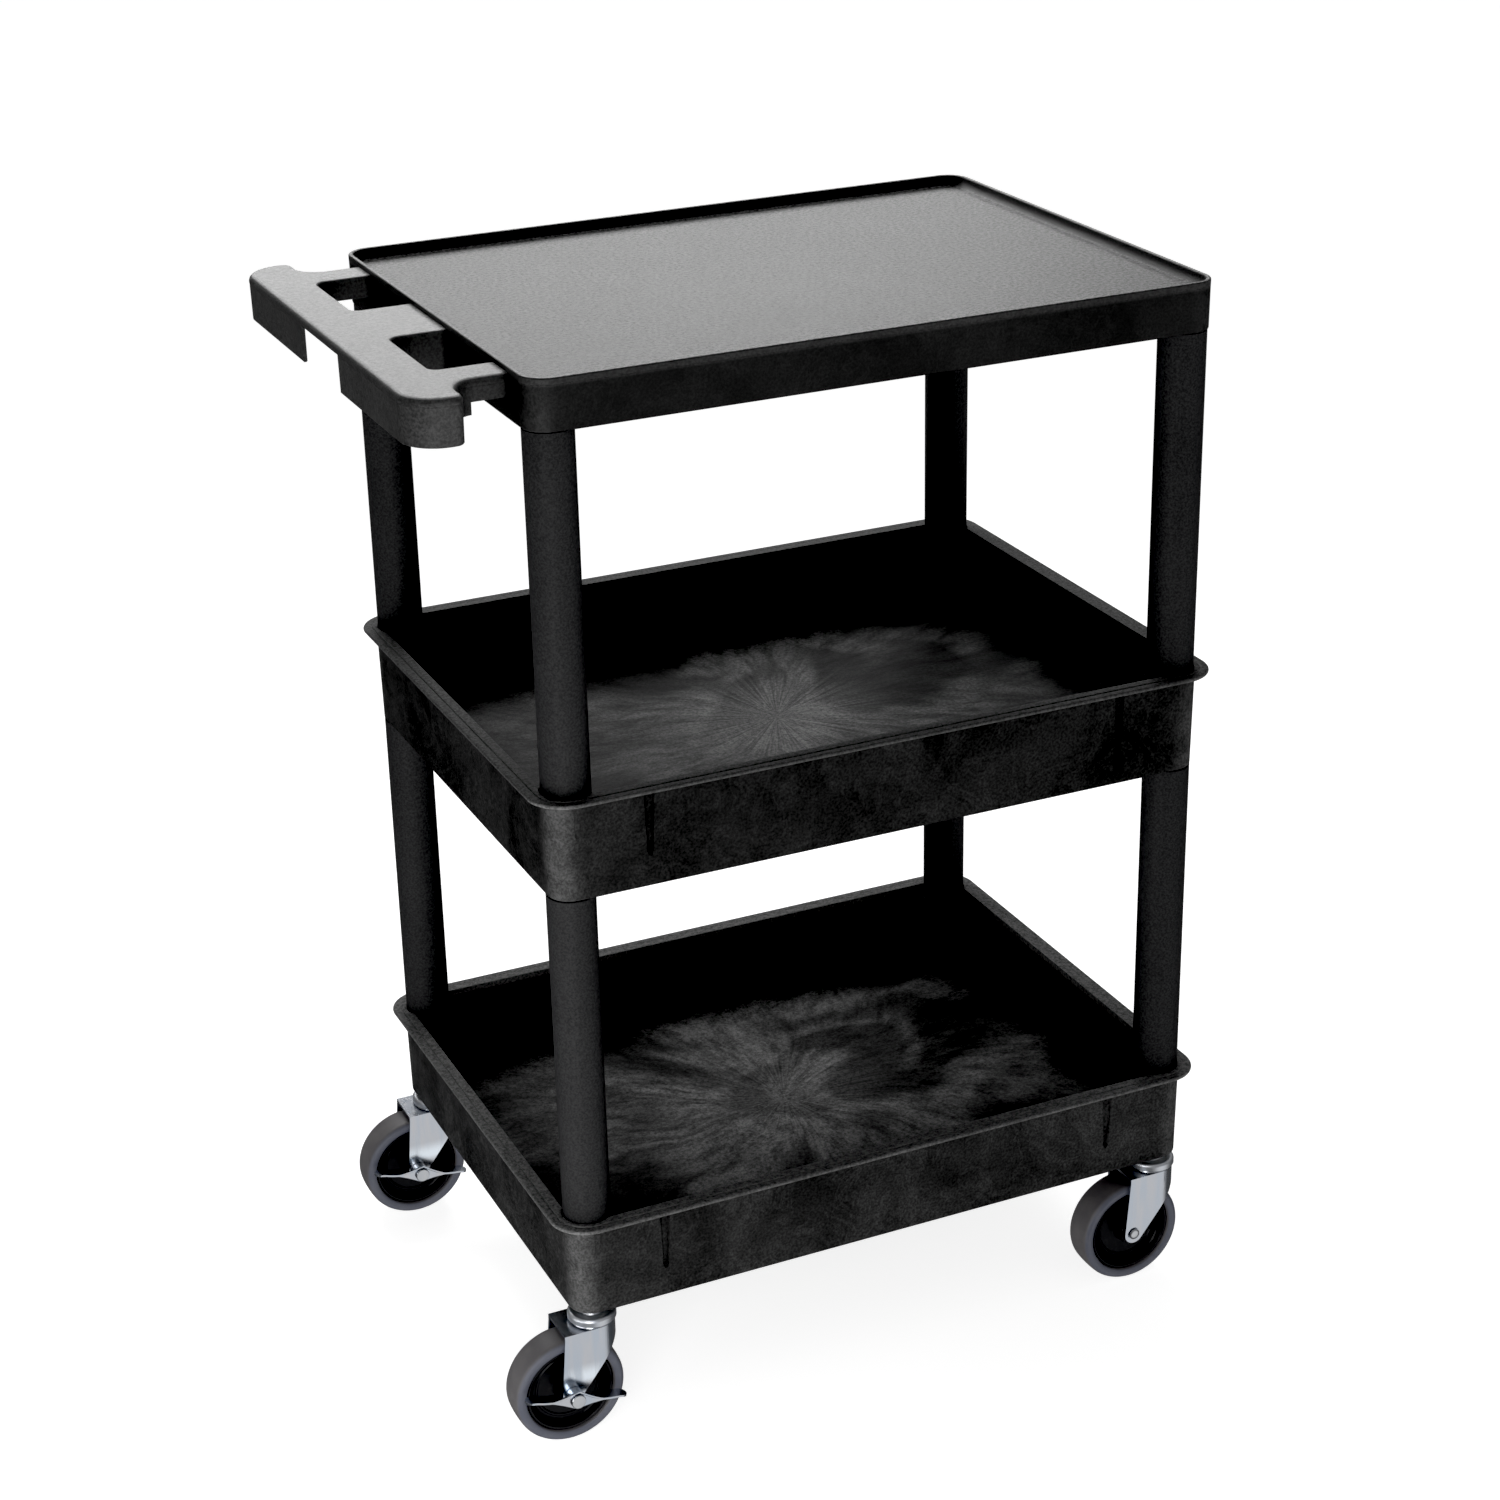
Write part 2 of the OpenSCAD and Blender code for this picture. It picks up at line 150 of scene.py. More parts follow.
def lathe(profile, steps=96, closed=True):
    """A solid of revolution about Z from (radius, height) points. A point on the axis ends the skin."""
    points = []
    rows = []
    for r, z in profile:
        if r == 0:
            rows.append([len(points)] * steps)
            points.append((0, 0, z))
            continue
        rows.append(list(range(len(points), len(points) + steps)))
        for i in range(steps):
            a = 2 * math.pi * i / steps
            points.append((r * math.cos(a), r * math.sin(a), z))
    faces = []
    for n in range(len(rows) if closed else len(rows) - 1):
        low, high = rows[n], rows[(n + 1) % len(rows)]
        for i in range(steps):
            k = (i + 1) % steps
            corners = [low[i], low[k], high[k], high[i]]
            face = [c for j, c in enumerate(corners) if c != corners[j - 1]]
            if len(face) > 2:
                faces.append(tuple(face))
    return points, faces


def tube(r, z0, z1, steps=64):
    """A plain round cutter."""
    return lathe([(0, z0), (r, z0), (r, z1), (0, z1)], steps, closed=False)


def block(low, high):
    """A plain rectangular cutter or rib."""
    x0, y0, z0 = low
    x1, y1, z1 = high
    outline = [(x0, y0), (x1, y0), (x1, y1), (x0, y1)]
    return loft([ring(outline, z0), ring(outline, z1)])


def moved(mesh, x, y):
    return [(px + x, py + y, pz) for px, py, pz in mesh[0]], mesh[1]


def turned(mesh, matrix):
    return [tuple(matrix @ Vector(p)) for p in mesh[0]], mesh[1]


def as_object(name, mesh):
    """A Blender object from a mesh in millimetres."""
    data = bpy.data.meshes.new(name)
    data.from_pydata([(x * MM, y * MM, z * MM) for x, y, z in mesh[0]], [], mesh[1])
    data.validate()
    obj = bpy.data.objects.new(name, data)
    bpy.context.scene.collection.objects.link(obj)
    face_outwards(data)
    return obj


def face_outwards(data):
    """Turns all of a closed mesh's faces outwards."""
    bm = bmesh.new()
    bm.from_mesh(data)
    bmesh.ops.recalc_face_normals(bm, faces=bm.faces)
    bm.to_mesh(data)
    bm.free()


def combine(obj, mesh, operation):
    """Cuts a mesh out of obj, or fuses it on."""
    other = as_object("operand", mesh)
    step = obj.modifiers.new("step", "BOOLEAN")
    step.operation = operation
    step.solver = "MANIFOLD"
    step.object = other
    view = bpy.context.evaluated_depsgraph_get()
    made = bpy.data.meshes.new_from_object(obj.evaluated_get(view))
    obj.modifiers.clear()
    before = obj.data
    name = before.name
    obj.data = made
    bpy.data.meshes.remove(before)
    made.name = name
    spare = other.data
    bpy.data.objects.remove(other)
    bpy.data.meshes.remove(spare)


def cut(obj, mesh):
    combine(obj, mesh, "DIFFERENCE")


def fuse(obj, mesh):
    combine(obj, mesh, "UNION")


def shift(obj, x, y, z=0):
    """Moves an object's mesh by millimetres."""
    obj.data.transform(Matrix.Translation(Vector((x, y, z)) * MM))


def place_mm(obj, matrix):
    """Applies a matrix in millimetres to an object's mesh."""
    shrink = Matrix.Diagonal((MM, MM, MM, 1))
    obj.data.transform(shrink @ matrix @ shrink.inverted())


def bevel(obj, width_mm):
    step = obj.modifiers.new("edges", "BEVEL")
    step.width = width_mm * MM
    step.segments = 2
    step.limit_method = "ANGLE"
    step.angle_limit = math.radians(BEVEL_ANGLE)


def finish_piece(obj, material, body, node, smooth=35):
    """Shading, material and body of a finished piece, and the CAD node that it replaces."""
    data = obj.data
    data.materials.clear()
    data.materials.append(material)
    for polygon in data.polygons:
        polygon.use_smooth = True
    data.set_sharp_from_angle(angle=math.radians(smooth))
    even = obj.modifiers.new("even_normals", "WEIGHTED_NORMAL")
    even.keep_sharp = True
    even.weight = 100
    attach(obj, body)
    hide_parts(node)


# ---------------------------------------------------------------- shelf outlines

def all_round(quarter):
    """The closed outline, counter-clockwise, whose +X +Y quarter is given."""
    back = quarter[::-1]
    return (
        quarter
        + [(-x, y) for x, y in back]
        + [(-x, -y) for x, y in quarter]
        + [(x, -y) for x, y in back]
    )


def plain(grow, r=None):
    """The shelf's rounded rectangle, moved out by grow."""
    if r is None:
        r = CORNER_R + grow
    return all_round(arc(HALF_L + grow - r, HALF_W + grow - r, r, 0, 90, 2 * LEAD_STEPS + ARC_STEPS))


def at_leg(points):
    return [(LEG_X + x, LEG_Y + y) for x, y in points]


def fillet_centre(wall, column, fillet):
    """The centre of the fillet between a wall and a leg column, about the leg's centre."""
    x = wall - fillet
    return x, -math.sqrt((column + fillet) ** 2 - x * x)


def seat_outline(grow):
    """The inside of a tub above the leg seats, where the wall goes round the outside of each leg."""
    wall = CORNER_R - WALL_T + grow
    r = SEAT_R + grow
    first = fillet_centre(CORNER_R - WALL_T, COLUMN_R, COLUMN_FILLET)[1]
    half = math.degrees(math.acos(wall / r))
    last = -math.sqrt(r * r - wall * wall)
    lead = [(wall, first + (last - first) * i / LEAD_STEPS) for i in range(LEAD_STEPS)]
    lead_out = [(y, x) for x, y in reversed(lead)]
    return all_round(at_leg(lead + arc(0, 0, r, -half, 90 + half, ARC_STEPS) + lead_out))


def column_outline(inset, column_inset=None):
    """The inside of a shelf with the leg columns standing in its corners."""
    if column_inset is None:
        column_inset = inset
    wall = CORNER_R - WALL_T - inset
    column = COLUMN_R + column_inset
    fillet = COLUMN_FILLET - inset
    fx, fy = fillet_centre(wall, column, fillet)
    lead = arc(fx, fy, fillet, 0, math.degrees(math.atan2(-fy, -fx)), LEAD_STEPS)[:-1]
    start = math.degrees(math.atan2(fy, fx))
    lead_out = [(y, x) for x, y in reversed(lead)]
    return all_round(at_leg(lead + arc(0, 0, column, start, -270 - start, ARC_STEPS) + lead_out))


def leg_centres():
    return [(sx * LEG_X, sy * LEG_Y) for sx in (-1, 1) for sy in (-1, 1)]


def add_ribs(obj, z_top, height):
    """The grid of ribs under a panel."""
    reach_x = HALF_L - WALL_T / 2
    reach_y = HALF_W - WALL_T / 2
    half = RIB_T / 2
    for i in (-1, 0, 1):
        y = i * HALF_W / 2
        fuse(obj, block((-reach_x, y - half, z_top - height), (reach_x, y + half, z_top + 1)))
    for i in range(-2, 3):
        x = i * HALF_L / 3
        fuse(obj, block((x - half, -reach_y, z_top - height), (x + half, reach_y, z_top + 1)))


# ---------------------------------------------------------------- tubs

# Rim profile: distances out from the wall's outer face, radii, and the lip's drop from the bead
BEAD_OUT = 3.0
GROOVE_OUT = 4.4
LIP_R = 1.8
LIP_DROP = 0.4
UNDER_RIM_R = 2
WALL_DRAFT = 1.2
FLOOR_FILLET = 4.0
FOOT_R = 2.5

# Slots in the long walls: distance along X from the middle, half width at the top and at the foot,
# depth, length
WALL_SLOTS = ((220, 4.8, 2.6, 3.0, 60), (LEG_X - 1, 3.4, 3.0, 0.8, 33))


def tub_rings():
    """A tub's skin, from the middle of its floor up, over the rim, down the outside and under."""
    top = TUB_H
    rings = [ring(plain(-FLOOR_CENTRE_INSET, CENTRE_CORNER_R), FLOOR_Z)]
    for sin, cos in sweep(90, 5):
        inset = WALL_DRAFT + FLOOR_FILLET * (1 - sin)
        rings.append(ring(column_outline(inset), FLOOR_Z + FLOOR_FILLET * (1 - cos)))
    rings.append(ring(column_outline(0, 0.3), top - SEAT_DROP - 0.8))
    rings.append(ring(column_outline(0, -0.5), top - SEAT_DROP))
    rings.append(ring(seat_outline(0), top - SEAT_DROP))
    rings.append(ring(seat_outline(0), top - 1))
    rings.append(ring(seat_outline(0.3), top - 0.3))
    rings.append(ring(seat_outline(1), top))
    for out, drop in (
        (BEAD_OUT, 0), (BEAD_OUT + 0.6, 0.3), (GROOVE_OUT - 0.3, 0.9), (GROOVE_OUT + 0.2, 0.9),
        (GROOVE_OUT + 0.8, LIP_DROP + 0.1), (GROOVE_OUT + 2.2, LIP_DROP),
    ):
        rings.append(ring(plain(out), top - drop))
    for sin, cos in sweep(180, 8):
        out = RIM_REACH - LIP_R + LIP_R * sin
        rings.append(ring(plain(out), top - LIP_DROP - LIP_R + LIP_R * cos))
    under = top - LIP_DROP - 2 * LIP_R
    for sin, cos in sweep(90, 4):
        rings.append(ring(plain(UNDER_RIM_R - UNDER_RIM_R * sin), under - UNDER_RIM_R + UNDER_RIM_R * cos))
    for sin, cos in sweep(90, 4):
        rings.append(ring(plain(-WALL_DRAFT - FOOT_R * (1 - cos)), FOOT_R * (1 - sin)))
    rings.append(ring(column_outline(0), 0))
    rings.append(ring(column_outline(0), FLOOR_Z - PANEL_T))
    rings.append(ring(plain(-FLOOR_CENTRE_INSET, CENTRE_CORNER_R), FLOOR_Z - PANEL_T))
    return rings


def wall_slot(x, side, half_top, half_foot, depth, length):
    """A tapered slot in a long wall, open to the outside and closed under the rim."""
    z1 = TUB_H - RIM_T - 0.4
    z0 = z1 - length
    face = HALF_W - WALL_DRAFT * length / TUB_H
    rings = []
    for z, half, deep in ((z0, half_foot * 0.4, 0.0), (z0 + 4, half_foot, depth), (z1, half_top, depth)):
        surface = face if z < z1 else HALF_W - 0.1
        foot = half * 0.8
        lip = half * 1.3
        outline = [(x - foot, surface - deep), (x + foot, surface - deep), (x + half, surface),
                   (x + lip, surface + 1.5), (x - lip, surface + 1.5), (x - half, surface)]
        rings.append(ring([(px, side * py) for px, py in outline], z))
    return loft(rings)


def build_tub(node, material, sleeve_bores):
    """A tub shelf, with leg sockets below as well as above unless it takes the stem sleeves."""
    obj = as_object(node + "_moulding", loft(tub_rings()))
    add_ribs(obj, FLOOR_Z - PANEL_T, FLOOR_RIB_H)
    for distance, half_top, half_foot, depth, length in WALL_SLOTS:
        for side in (-1, 1):
            for x in (-distance, distance):
                cut(obj, wall_slot(x, side, half_top, half_foot, depth, length))
    seat_z = TUB_H - SEAT_DROP
    for x, y in leg_centres():
        cut(obj, moved(tube(SOCKET_R, seat_z - SPIGOT_L - 1, seat_z + 1), x, y))
        if sleeve_bores:
            cut(obj, moved(tube(SLEEVE_BORE_R, -1, SLEEVE_BORE_H), x, y))
            cut(obj, moved(tube(SLEEVE_FLANGE_R, -1, SLEEVE_FLANGE_H), x, y))
        else:
            cut(obj, moved(tube(SOCKET_R, -1, SPIGOT_L), x, y))
    shift(obj, CENTRE_X, 0, box_mm(node)[0].z)
    finish_piece(obj, material, "root", node)


# ---------------------------------------------------------------- top shelf and handle

LIP_FILLET = 7.0
LIP_EDGE_R = 1.5
SHELF_DRAFT = 0.4

# The handle's bar reaches from HANDLE_X0 to BAR_X1, and its necks and bridge go on to the shelf at
# HANDLE_X1. Half sizes are along Y.
HANDLE_X0 = shelf_low.x - CENTRE_X
BAR_X1 = HANDLE_X0 + 45
HANDLE_X1 = -HALF_L
BAR_HALF = 226
NECK_HALF = 186
BRIDGE_HALF = 46
HAND_L = 103
OUTER_CORNER_R = 32
INNER_CORNER_R = 10
BLEND_R = 20
HANDLE_H = SKIRT_H - 4.5
SLAB_Z = HANDLE_H - 7
HANDLE_T = 4
HANDLE_EDGE_R = 5.5
NECK_STEP_Y = 100
HAND_EDGE_R = 3.0
NOTCH_HALF = 50
# Steps under the necks, as (distance from the bar, height)
NECK_STEPS = ((8, 10), (17, 20))


def shelf_rings():
    """The top shelf's skin, from the middle of the deck, over the lip, down the skirt and under."""
    rings = [ring(plain(-DECK_CENTRE_INSET, CENTRE_CORNER_R), DECK_Z)]
    r = LIP_EDGE_R
    for sin, cos in sweep(90, 7):
        rings.append(ring(plain(-LIP_T - LIP_FILLET * (1 - sin)), DECK_Z + LIP_FILLET * (1 - cos)))
    for sin, cos in sweep(90, 4):
        rings.append(ring(plain(-LIP_T + r * (1 - cos)), SKIRT_H - r + r * sin))
    for sin, cos in sweep(90, 4):
        rings.append(ring(plain(-r + r * sin), SKIRT_H - r + r * cos))
    rings.append(ring(plain(0), SKIRT_H - 5.2))
    rings.append(ring(plain(-0.3), SKIRT_H - 5.5))
    rings.append(ring(plain(-0.1), SKIRT_H - 5.9))
    for sin, cos in sweep(90, 3):
        rings.append(ring(plain(-SHELF_DRAFT - r * (1 - cos)), r * (1 - sin)))
    rings.append(ring(column_outline(0), 0))
    rings.append(ring(column_outline(0), DECK_Z - PANEL_T))
    rings.append(ring(plain(-DECK_CENTRE_INSET, CENTRE_CORNER_R), DECK_Z - PANEL_T))
    return rings


def handle_outline(inset):
    """The handle's plan, inset all round except where it runs into the shelf's wall."""
    end_x = HANDLE_X1 + 2
    blend_y = -NECK_HALF - BLEND_R
    half = [(end_x, -NECK_HALF + inset)]
    half += arc(BAR_X1 + BLEND_R, blend_y, BLEND_R + inset, 90, 180, 10)
    corner_y = -BAR_HALF + INNER_CORNER_R
    half += arc(BAR_X1 - INNER_CORNER_R, corner_y, INNER_CORNER_R - inset, 0, -90, 10)
    corner_y = -BAR_HALF + OUTER_CORNER_R
    half += arc(HANDLE_X0 + OUTER_CORNER_R, corner_y, OUTER_CORNER_R - inset, -90, -180, 16)
    return half + [(x, -y) for x, y in reversed(half)]


def hand_outline(side, grow):
    """One hand hole's plan, grown on the sides away from the shelf. It runs into the shelf's wall."""
    r = 8 + grow
    x0 = BAR_X1 - 1 - grow
    y0 = BRIDGE_HALF - grow
    y1 = BRIDGE_HALF + HAND_L + grow
    end_x = HANDLE_X1 + 3
    points = [(end_x, y0), (end_x, y1)]
    points += arc(x0 + r, y1 - r, r, 90, 180, 8)
    points += arc(x0 + r, y0 + r, r, 180, 270, 8)
    return [(x, side * y) for x, y in points]


def handle_object():
    """The handle by itself: a slab with a wall round it, two hand holes, a notch and stepped necks."""
    edge_z = HANDLE_H - HANDLE_EDGE_R
    rings = []
    for inset, z in (
        (HANDLE_T, SLAB_Z), (HANDLE_T, 0.8), (HANDLE_T - 0.8, 0), (1.3, 0), (0.7, 0.7),
        (0.25, edge_z - 1.6), (0.5, edge_z - 1.2), (0.0, edge_z - 0.8),
    ):
        rings.append(ring(handle_outline(inset), z))
    for sin, cos in sweep(90, 8):
        rings.append(ring(handle_outline(HANDLE_EDGE_R * (1 - cos)), edge_z + HANDLE_EDGE_R * sin))
    obj = as_object("handle", loft(rings))
    for side in (-1, 1):
        wall = hand_outline(side, HANDLE_T)
        fuse(obj, loft([ring(wall, 0), ring(wall, SLAB_Z + 2)]))
    for side in (-1, 1):
        rings = [ring(hand_outline(side, -0.6), -2), ring(hand_outline(side, 0), HANDLE_H - HAND_EDGE_R)]
        for sin, cos in sweep(90, 6)[1:]:
            z = HANDLE_H - HAND_EDGE_R + HAND_EDGE_R * sin
            rings.append(ring(hand_outline(side, HAND_EDGE_R * (1 - cos)), z))
        rings.append(ring(hand_outline(side, HAND_EDGE_R + 0.4), HANDLE_H + 2))
        cut(obj, loft(rings))
    cut(obj, block((HANDLE_X0 - 1, -NOTCH_HALF, -1), (HANDLE_X0 + HANDLE_T + 1, NOTCH_HALF, SLAB_Z)))
    for along, height in NECK_STEPS:
        for y0, y1 in ((-BAR_HALF, -NECK_STEP_Y), (NECK_STEP_Y, BAR_HALF)):
            cut(obj, block((BAR_X1 + along, y0, -1), (HANDLE_X1 + 4, y1, height)))
    return obj


def build_top_shelf(material):
    obj = as_object("top_shelf_moulding", loft(shelf_rings()))
    add_ribs(obj, DECK_Z - PANEL_T, DECK_RIB_H)
    handle = handle_object()
    points = [tuple(v.co / MM) for v in handle.data.vertices]
    faces = [tuple(p.vertices) for p in handle.data.polygons]
    bpy.data.objects.remove(handle)
    fuse(obj, (points, faces))
    for x, y in leg_centres():
        cut(obj, moved(tube(SOCKET_R, -1, TOP_SPIGOT_L), x, y))
    shift(obj, CENTRE_X, 0, shelf_low.z)
    finish_piece(obj, material, "root", "top_shelf")


# ---------------------------------------------------------------- legs

LEG_WALL = 2.6


def build_leg(node, material, z0, z1, top_spigot):
    """A tube with a push-in spigot past each of its chamfered shoulders, which are at z0 and z1."""
    low, high = box_mm(node)
    bore = SPIGOT_R - LEG_WALL
    profile = [
        (bore, z0 - SPIGOT_L), (SPIGOT_R - 1.2, z0 - SPIGOT_L), (SPIGOT_R, z0 - SPIGOT_L + 2.5),
        (SPIGOT_R, z0), (LEG_R - 0.7, z0), (LEG_R, z0 + 0.7),
        (LEG_R, z1 - 0.7), (LEG_R - 0.7, z1), (SPIGOT_R, z1),
        (SPIGOT_R, z1 + top_spigot - 2.5), (SPIGOT_R - 1.2, z1 + top_spigot), (bore, z1 + top_spigot),
        (bore, z1 - 4), (LEG_R - LEG_WALL, z1 - 4), (LEG_R - LEG_WALL, z0 + 4), (bore, z0 + 4),
    ]
    x = (low.x + high.x) / 2
    y = (low.y + high.y) / 2
    obj = as_object(node + "_tube", moved(lathe(profile, 96), x, y))
    finish_piece(obj, material, "root", node)


# ---------------------------------------------------------------- casters

# Sizes about a caster's swivel axis: X is forward, and Z is the height above the floor
FORK_TOP = 112
FORK_HALF = 20
FORK_T = 2.7
FORK_BACK_X = -33
TRAIL = 28
AXLE_Z = 50.8
FORK_END_R = 9.5
FORK_PAD_H = 1.3
FORK_HOLE_R = 5.58
RACE_HOLE_R = 5.55
HUB_BORE_R = 5.55
AXLE_R = 4
THREAD_PITCH = 0.8
THREAD_L = 6.4
LEVER_GAP = 0.3
LEVER_DEPTH = 11.4
LEVER_REACH = 47.5
LEVER_SHEET_T = 1.8
LEVER_PLATE_T = 2.0
LEVER_PLATE_HALF = 24
LEVER_TILT = 12
ON_AXLE = Matrix.Translation((-TRAIL, 0, AXLE_Z)) @ Matrix.Rotation(math.radians(90), 4, "X")


def corner_place(corner):
    """The swivel axis of a caster, in millimetres."""
    low, high = box_mm("race_cup_" + corner)
    return (low.x + high.x) / 2, (low.y + high.y) / 2


def fork_plan(inset):
    """The fork's plan: straight sides and back, round front."""
    half = FORK_HALF - inset
    back = FORK_BACK_X - 12
    return [(back, half), (back, -half)] + arc(0, 0, half, -90, 90, 32)


def fork_side():
    """The fork's outline seen from the side: upright back edge, slanting front edge, round end."""
    shoulder = Vector((23, 101.5))
    axle = Vector((-TRAIL, AXLE_Z))
    to_axle = axle - shoulder
    tilt = math.degrees(math.atan2(to_axle.y, to_axle.x) + math.asin(FORK_END_R / to_axle.length)) + 90
    points = [(FORK_BACK_X, FORK_TOP + 5), (FORK_BACK_X, FORK_TOP - 6)]
    points += arc(axle.x, axle.y, FORK_END_R, 180, 360 + tilt, 24)
    points += [tuple(shoulder), (23, FORK_TOP + 5)]
    return points


def build_fork(corner, material):
    """The pressed fork: a hollow cap with a raised pad, cut to its side view, dished round the axle."""
    x, y = corner_place(corner)
    flat_top = FORK_TOP - FORK_PAD_H
    plan = fork_plan(0)
    obj = as_object("fork_" + corner + "_pressing", loft([ring(plan, 30), ring(plan, flat_top)]))
    pad = [(0, 90), (FORK_HALF, 90), (FORK_HALF, FORK_TOP - 1.6), (FORK_HALF - 0.5, FORK_TOP - 0.5),
           (FORK_HALF - 1.6, FORK_TOP), (0, FORK_TOP)]
    fuse(obj, lathe(pad, 96, closed=False))
    hollow = fork_plan(FORK_T)
    cut(obj, loft([ring(hollow, 20), ring(hollow, FORK_TOP - FORK_T - FORK_PAD_H)]))
    side = fork_side()
    slab = loft([[(px, py, pz) for px, pz in side] for py in (-FORK_HALF - 2, FORK_HALF + 2)])
    combine(obj, slab, "INTERSECT")
    cut(obj, tube(FORK_HOLE_R, 90, 120))
    cut(obj, turned(tube(AXLE_R + 0.05, -30, 30, 48), ON_AXLE))
    dish = [(0, -0.55), (6.2, -0.55), (7.4, 0.1), (7.4, 2), (0, 2)]
    dished_sides = (-1,) if corner in BRAKED else (-1, 1)
    for sign in dished_sides:
        section = [(r, sign * (FORK_HALF + z)) for r, z in dish]
        cut(obj, turned(lathe(section, 64, closed=False), ON_AXLE))
    shift(obj, x, y)
    bevel(obj, 0.55)
    finish_piece(obj, material, "fork_" + corner, "fork_" + corner, 40)


def build_race_cup(corner, material):
    """The domed upper race: a rolled outer wall, a flat crown and a groove round the collar."""
    x, y = corner_place(corner)
    low, high = box_mm("race_cup_" + corner)
    z0, z1 = low.z, high.z
    r = (high.x - low.x) / 2
    roll = 3.4
    profile = [(RACE_HOLE_R, z0 + 4.6), (17.6, z0 + 4.6), (17.6, z0), (r - 0.6, z0), (r, z0 + 0.6)]
    profile += arc(r - roll, z0 + 4.2, roll, 0, 90, 6)
    profile += [(15.2, z0 + 7.7), (14.2, z0 + 7.2), (13.4, z0 + 6.2), (12.2, z0 + 5.9), (11.2, z0 + 6.4),
                (10.4, z1 - 0.4), (9.8, z1), (RACE_HOLE_R, z1)]
    obj = as_object("race_cup_" + corner + "_dome", moved(lathe(profile, 96), x, y))
    finish_piece(obj, material, "root", "race_cup_" + corner)


def hexagon_bar(r, chamfer, z0, z1):
    """An upright hexagon prism with both ends chamfered."""
    end = arc(0, 0, r - chamfer, 0, 300, 5)
    side = arc(0, 0, r, 0, 300, 5)
    return loft([ring(end, z0), ring(side, z0 + chamfer), ring(side, z1 - chamfer), ring(end, z1)])


def build_stem(corner, material):
    """The king pin: closed foot, shaft, grip ring and the hexagon collar under the tub."""
    x, y = corner_place(corner)
    low, high = box_mm("stem_" + corner)
    collar_z = box_mm("race_cup_" + corner)[1].z
    tub_z = box_mm("bottom_tub")[0].z
    shaft_r = 5.5
    profile = [
        (0, low.z), (7.7, low.z), (8.5, low.z + 0.8), (8.5, low.z + 3), (shaft_r, low.z + 3),
        (shaft_r, high.z - 6), (6.1, high.z - 5.4), (6.1, high.z - 3.6), (shaft_r, high.z - 3),
        (shaft_r, high.z - 1.2), (shaft_r - 1.2, high.z), (0, high.z),
    ]
    obj = as_object("stem_" + corner + "_pin", lathe(profile, 64, closed=False))
    fuse(obj, hexagon_bar(9.5, 0.9, collar_z, tub_z))
    shift(obj, x, y)
    finish_piece(obj, material, "root", "stem_" + corner)


def both_sides(half):
    """A closed section from its half on one side of the wheel's middle."""
    return half + [(r, -z) for r, z in reversed(half) if z > 0]


def build_wheel_core(corner, material):
    """The dished wheel core: bored hub, web with a raised ring, and the rim under the tyre."""
    x, y = corner_place(corner)
    half = [
        (HUB_BORE_R, 16.0), (6.1, 16.6), (11.2, 16.6), (12, 15.8), (12.4, 8.0), (13.6, 5.6), (16.0, 4.9),
        (27.6, 5.4), (28.4, 6.3), (29.8, 6.5), (30.7, 5.8), (32.2, 5.8), (34.6, 7.2), (36.4, 10.6),
        (37.0, 12.3), (37.8, 12.9), (39.6, 12.9), (40.3, 12.2), (40.5, 11.0),
    ]
    mesh = turned(lathe(both_sides(half), 128), ON_AXLE)
    obj = as_object("wheel_core_" + corner + "_dish", moved(mesh, x, y))
    finish_piece(obj, material, "wheel_" + corner, "wheel_core_" + corner)


def build_tyre(corner, material):
    """The tyre: a lightly crowned tread, round shoulders and a side wall with a fine ridge at its root."""
    x, y = corner_place(corner)
    r, width, shoulder = AXLE_Z, 15.9, 5.2
    half = [(r, 0), (r - 0.05, 4), (r - 0.2, 8)]
    half += arc(r - 0.45 - shoulder, width - shoulder, shoulder, 0, 80, 8)
    half += [(r - shoulder - 0.7, width), (43.2, width - 0.5), (42.0, width - 0.9), (41.3, width - 1.5),
             (40.9, width - 2.6), (40.55, 12.4), (40.55, 0)]
    mesh = turned(lathe(both_sides(half), 144), ON_AXLE)
    obj = as_object("tyre_" + corner + "_tread", moved(mesh, x, y))
    finish_piece(obj, material, "wheel_" + corner, "tyre_" + corner, 50)


def build_axle(corner, material):
    """The axle bolt: a low domed head, or a broad flat one over the brake lever, and a threaded tail."""
    x, y = corner_place(corner)
    low, high = box_mm("axle_" + corner)
    outer = y - low.y
    tail = y - high.y
    if corner in BRAKED:
        head = [(6.0, 2), (6.6, 1.5), (6.6, 0.7), (6.2, 0.2), (5.4, 0), (0, 0)]
    else:
        head = [(4.6, 2), (5.2, 1.6), (5.2, 1.1), (4.4, 0.5), (3.0, 0.1), (1.2, 0), (0, 0)]
    profile = [(0, tail), (AXLE_R - 0.8, tail)]
    z = tail + THREAD_PITCH
    while z < tail + THREAD_L:
        profile += [(AXLE_R, z), (AXLE_R - 0.45, z + THREAD_PITCH / 2)]
        z += THREAD_PITCH
    profile += [(AXLE_R, z), (AXLE_R, outer - 2)] + [(r, outer - depth) for r, depth in head]
    mesh = turned(lathe(profile, 64, closed=False), ON_AXLE)
    obj = as_object("axle_" + corner + "_bolt", moved(mesh, x, y))
    finish_piece(obj, material, "fork_" + corner, "axle_" + corner)


def build_nut(corner, material):
    """A chamfered hexagon nut on the axle's tail."""
    x, y = corner_place(corner)
    low, high = box_mm("axle_nut_" + corner)
    z0, z1 = y - high.y, y - low.y
    obj = as_object("axle_nut_" + corner + "_hexagon", hexagon_bar(7.5, 0.8, z0, z1))
    cut(obj, tube(AXLE_R + 0.05, z0 - 1, z1 + 1, 48))
    place_mm(obj, ON_AXLE)
    shift(obj, x, y)
    finish_piece(obj, material, "fork_" + corner, "axle_nut_" + corner)


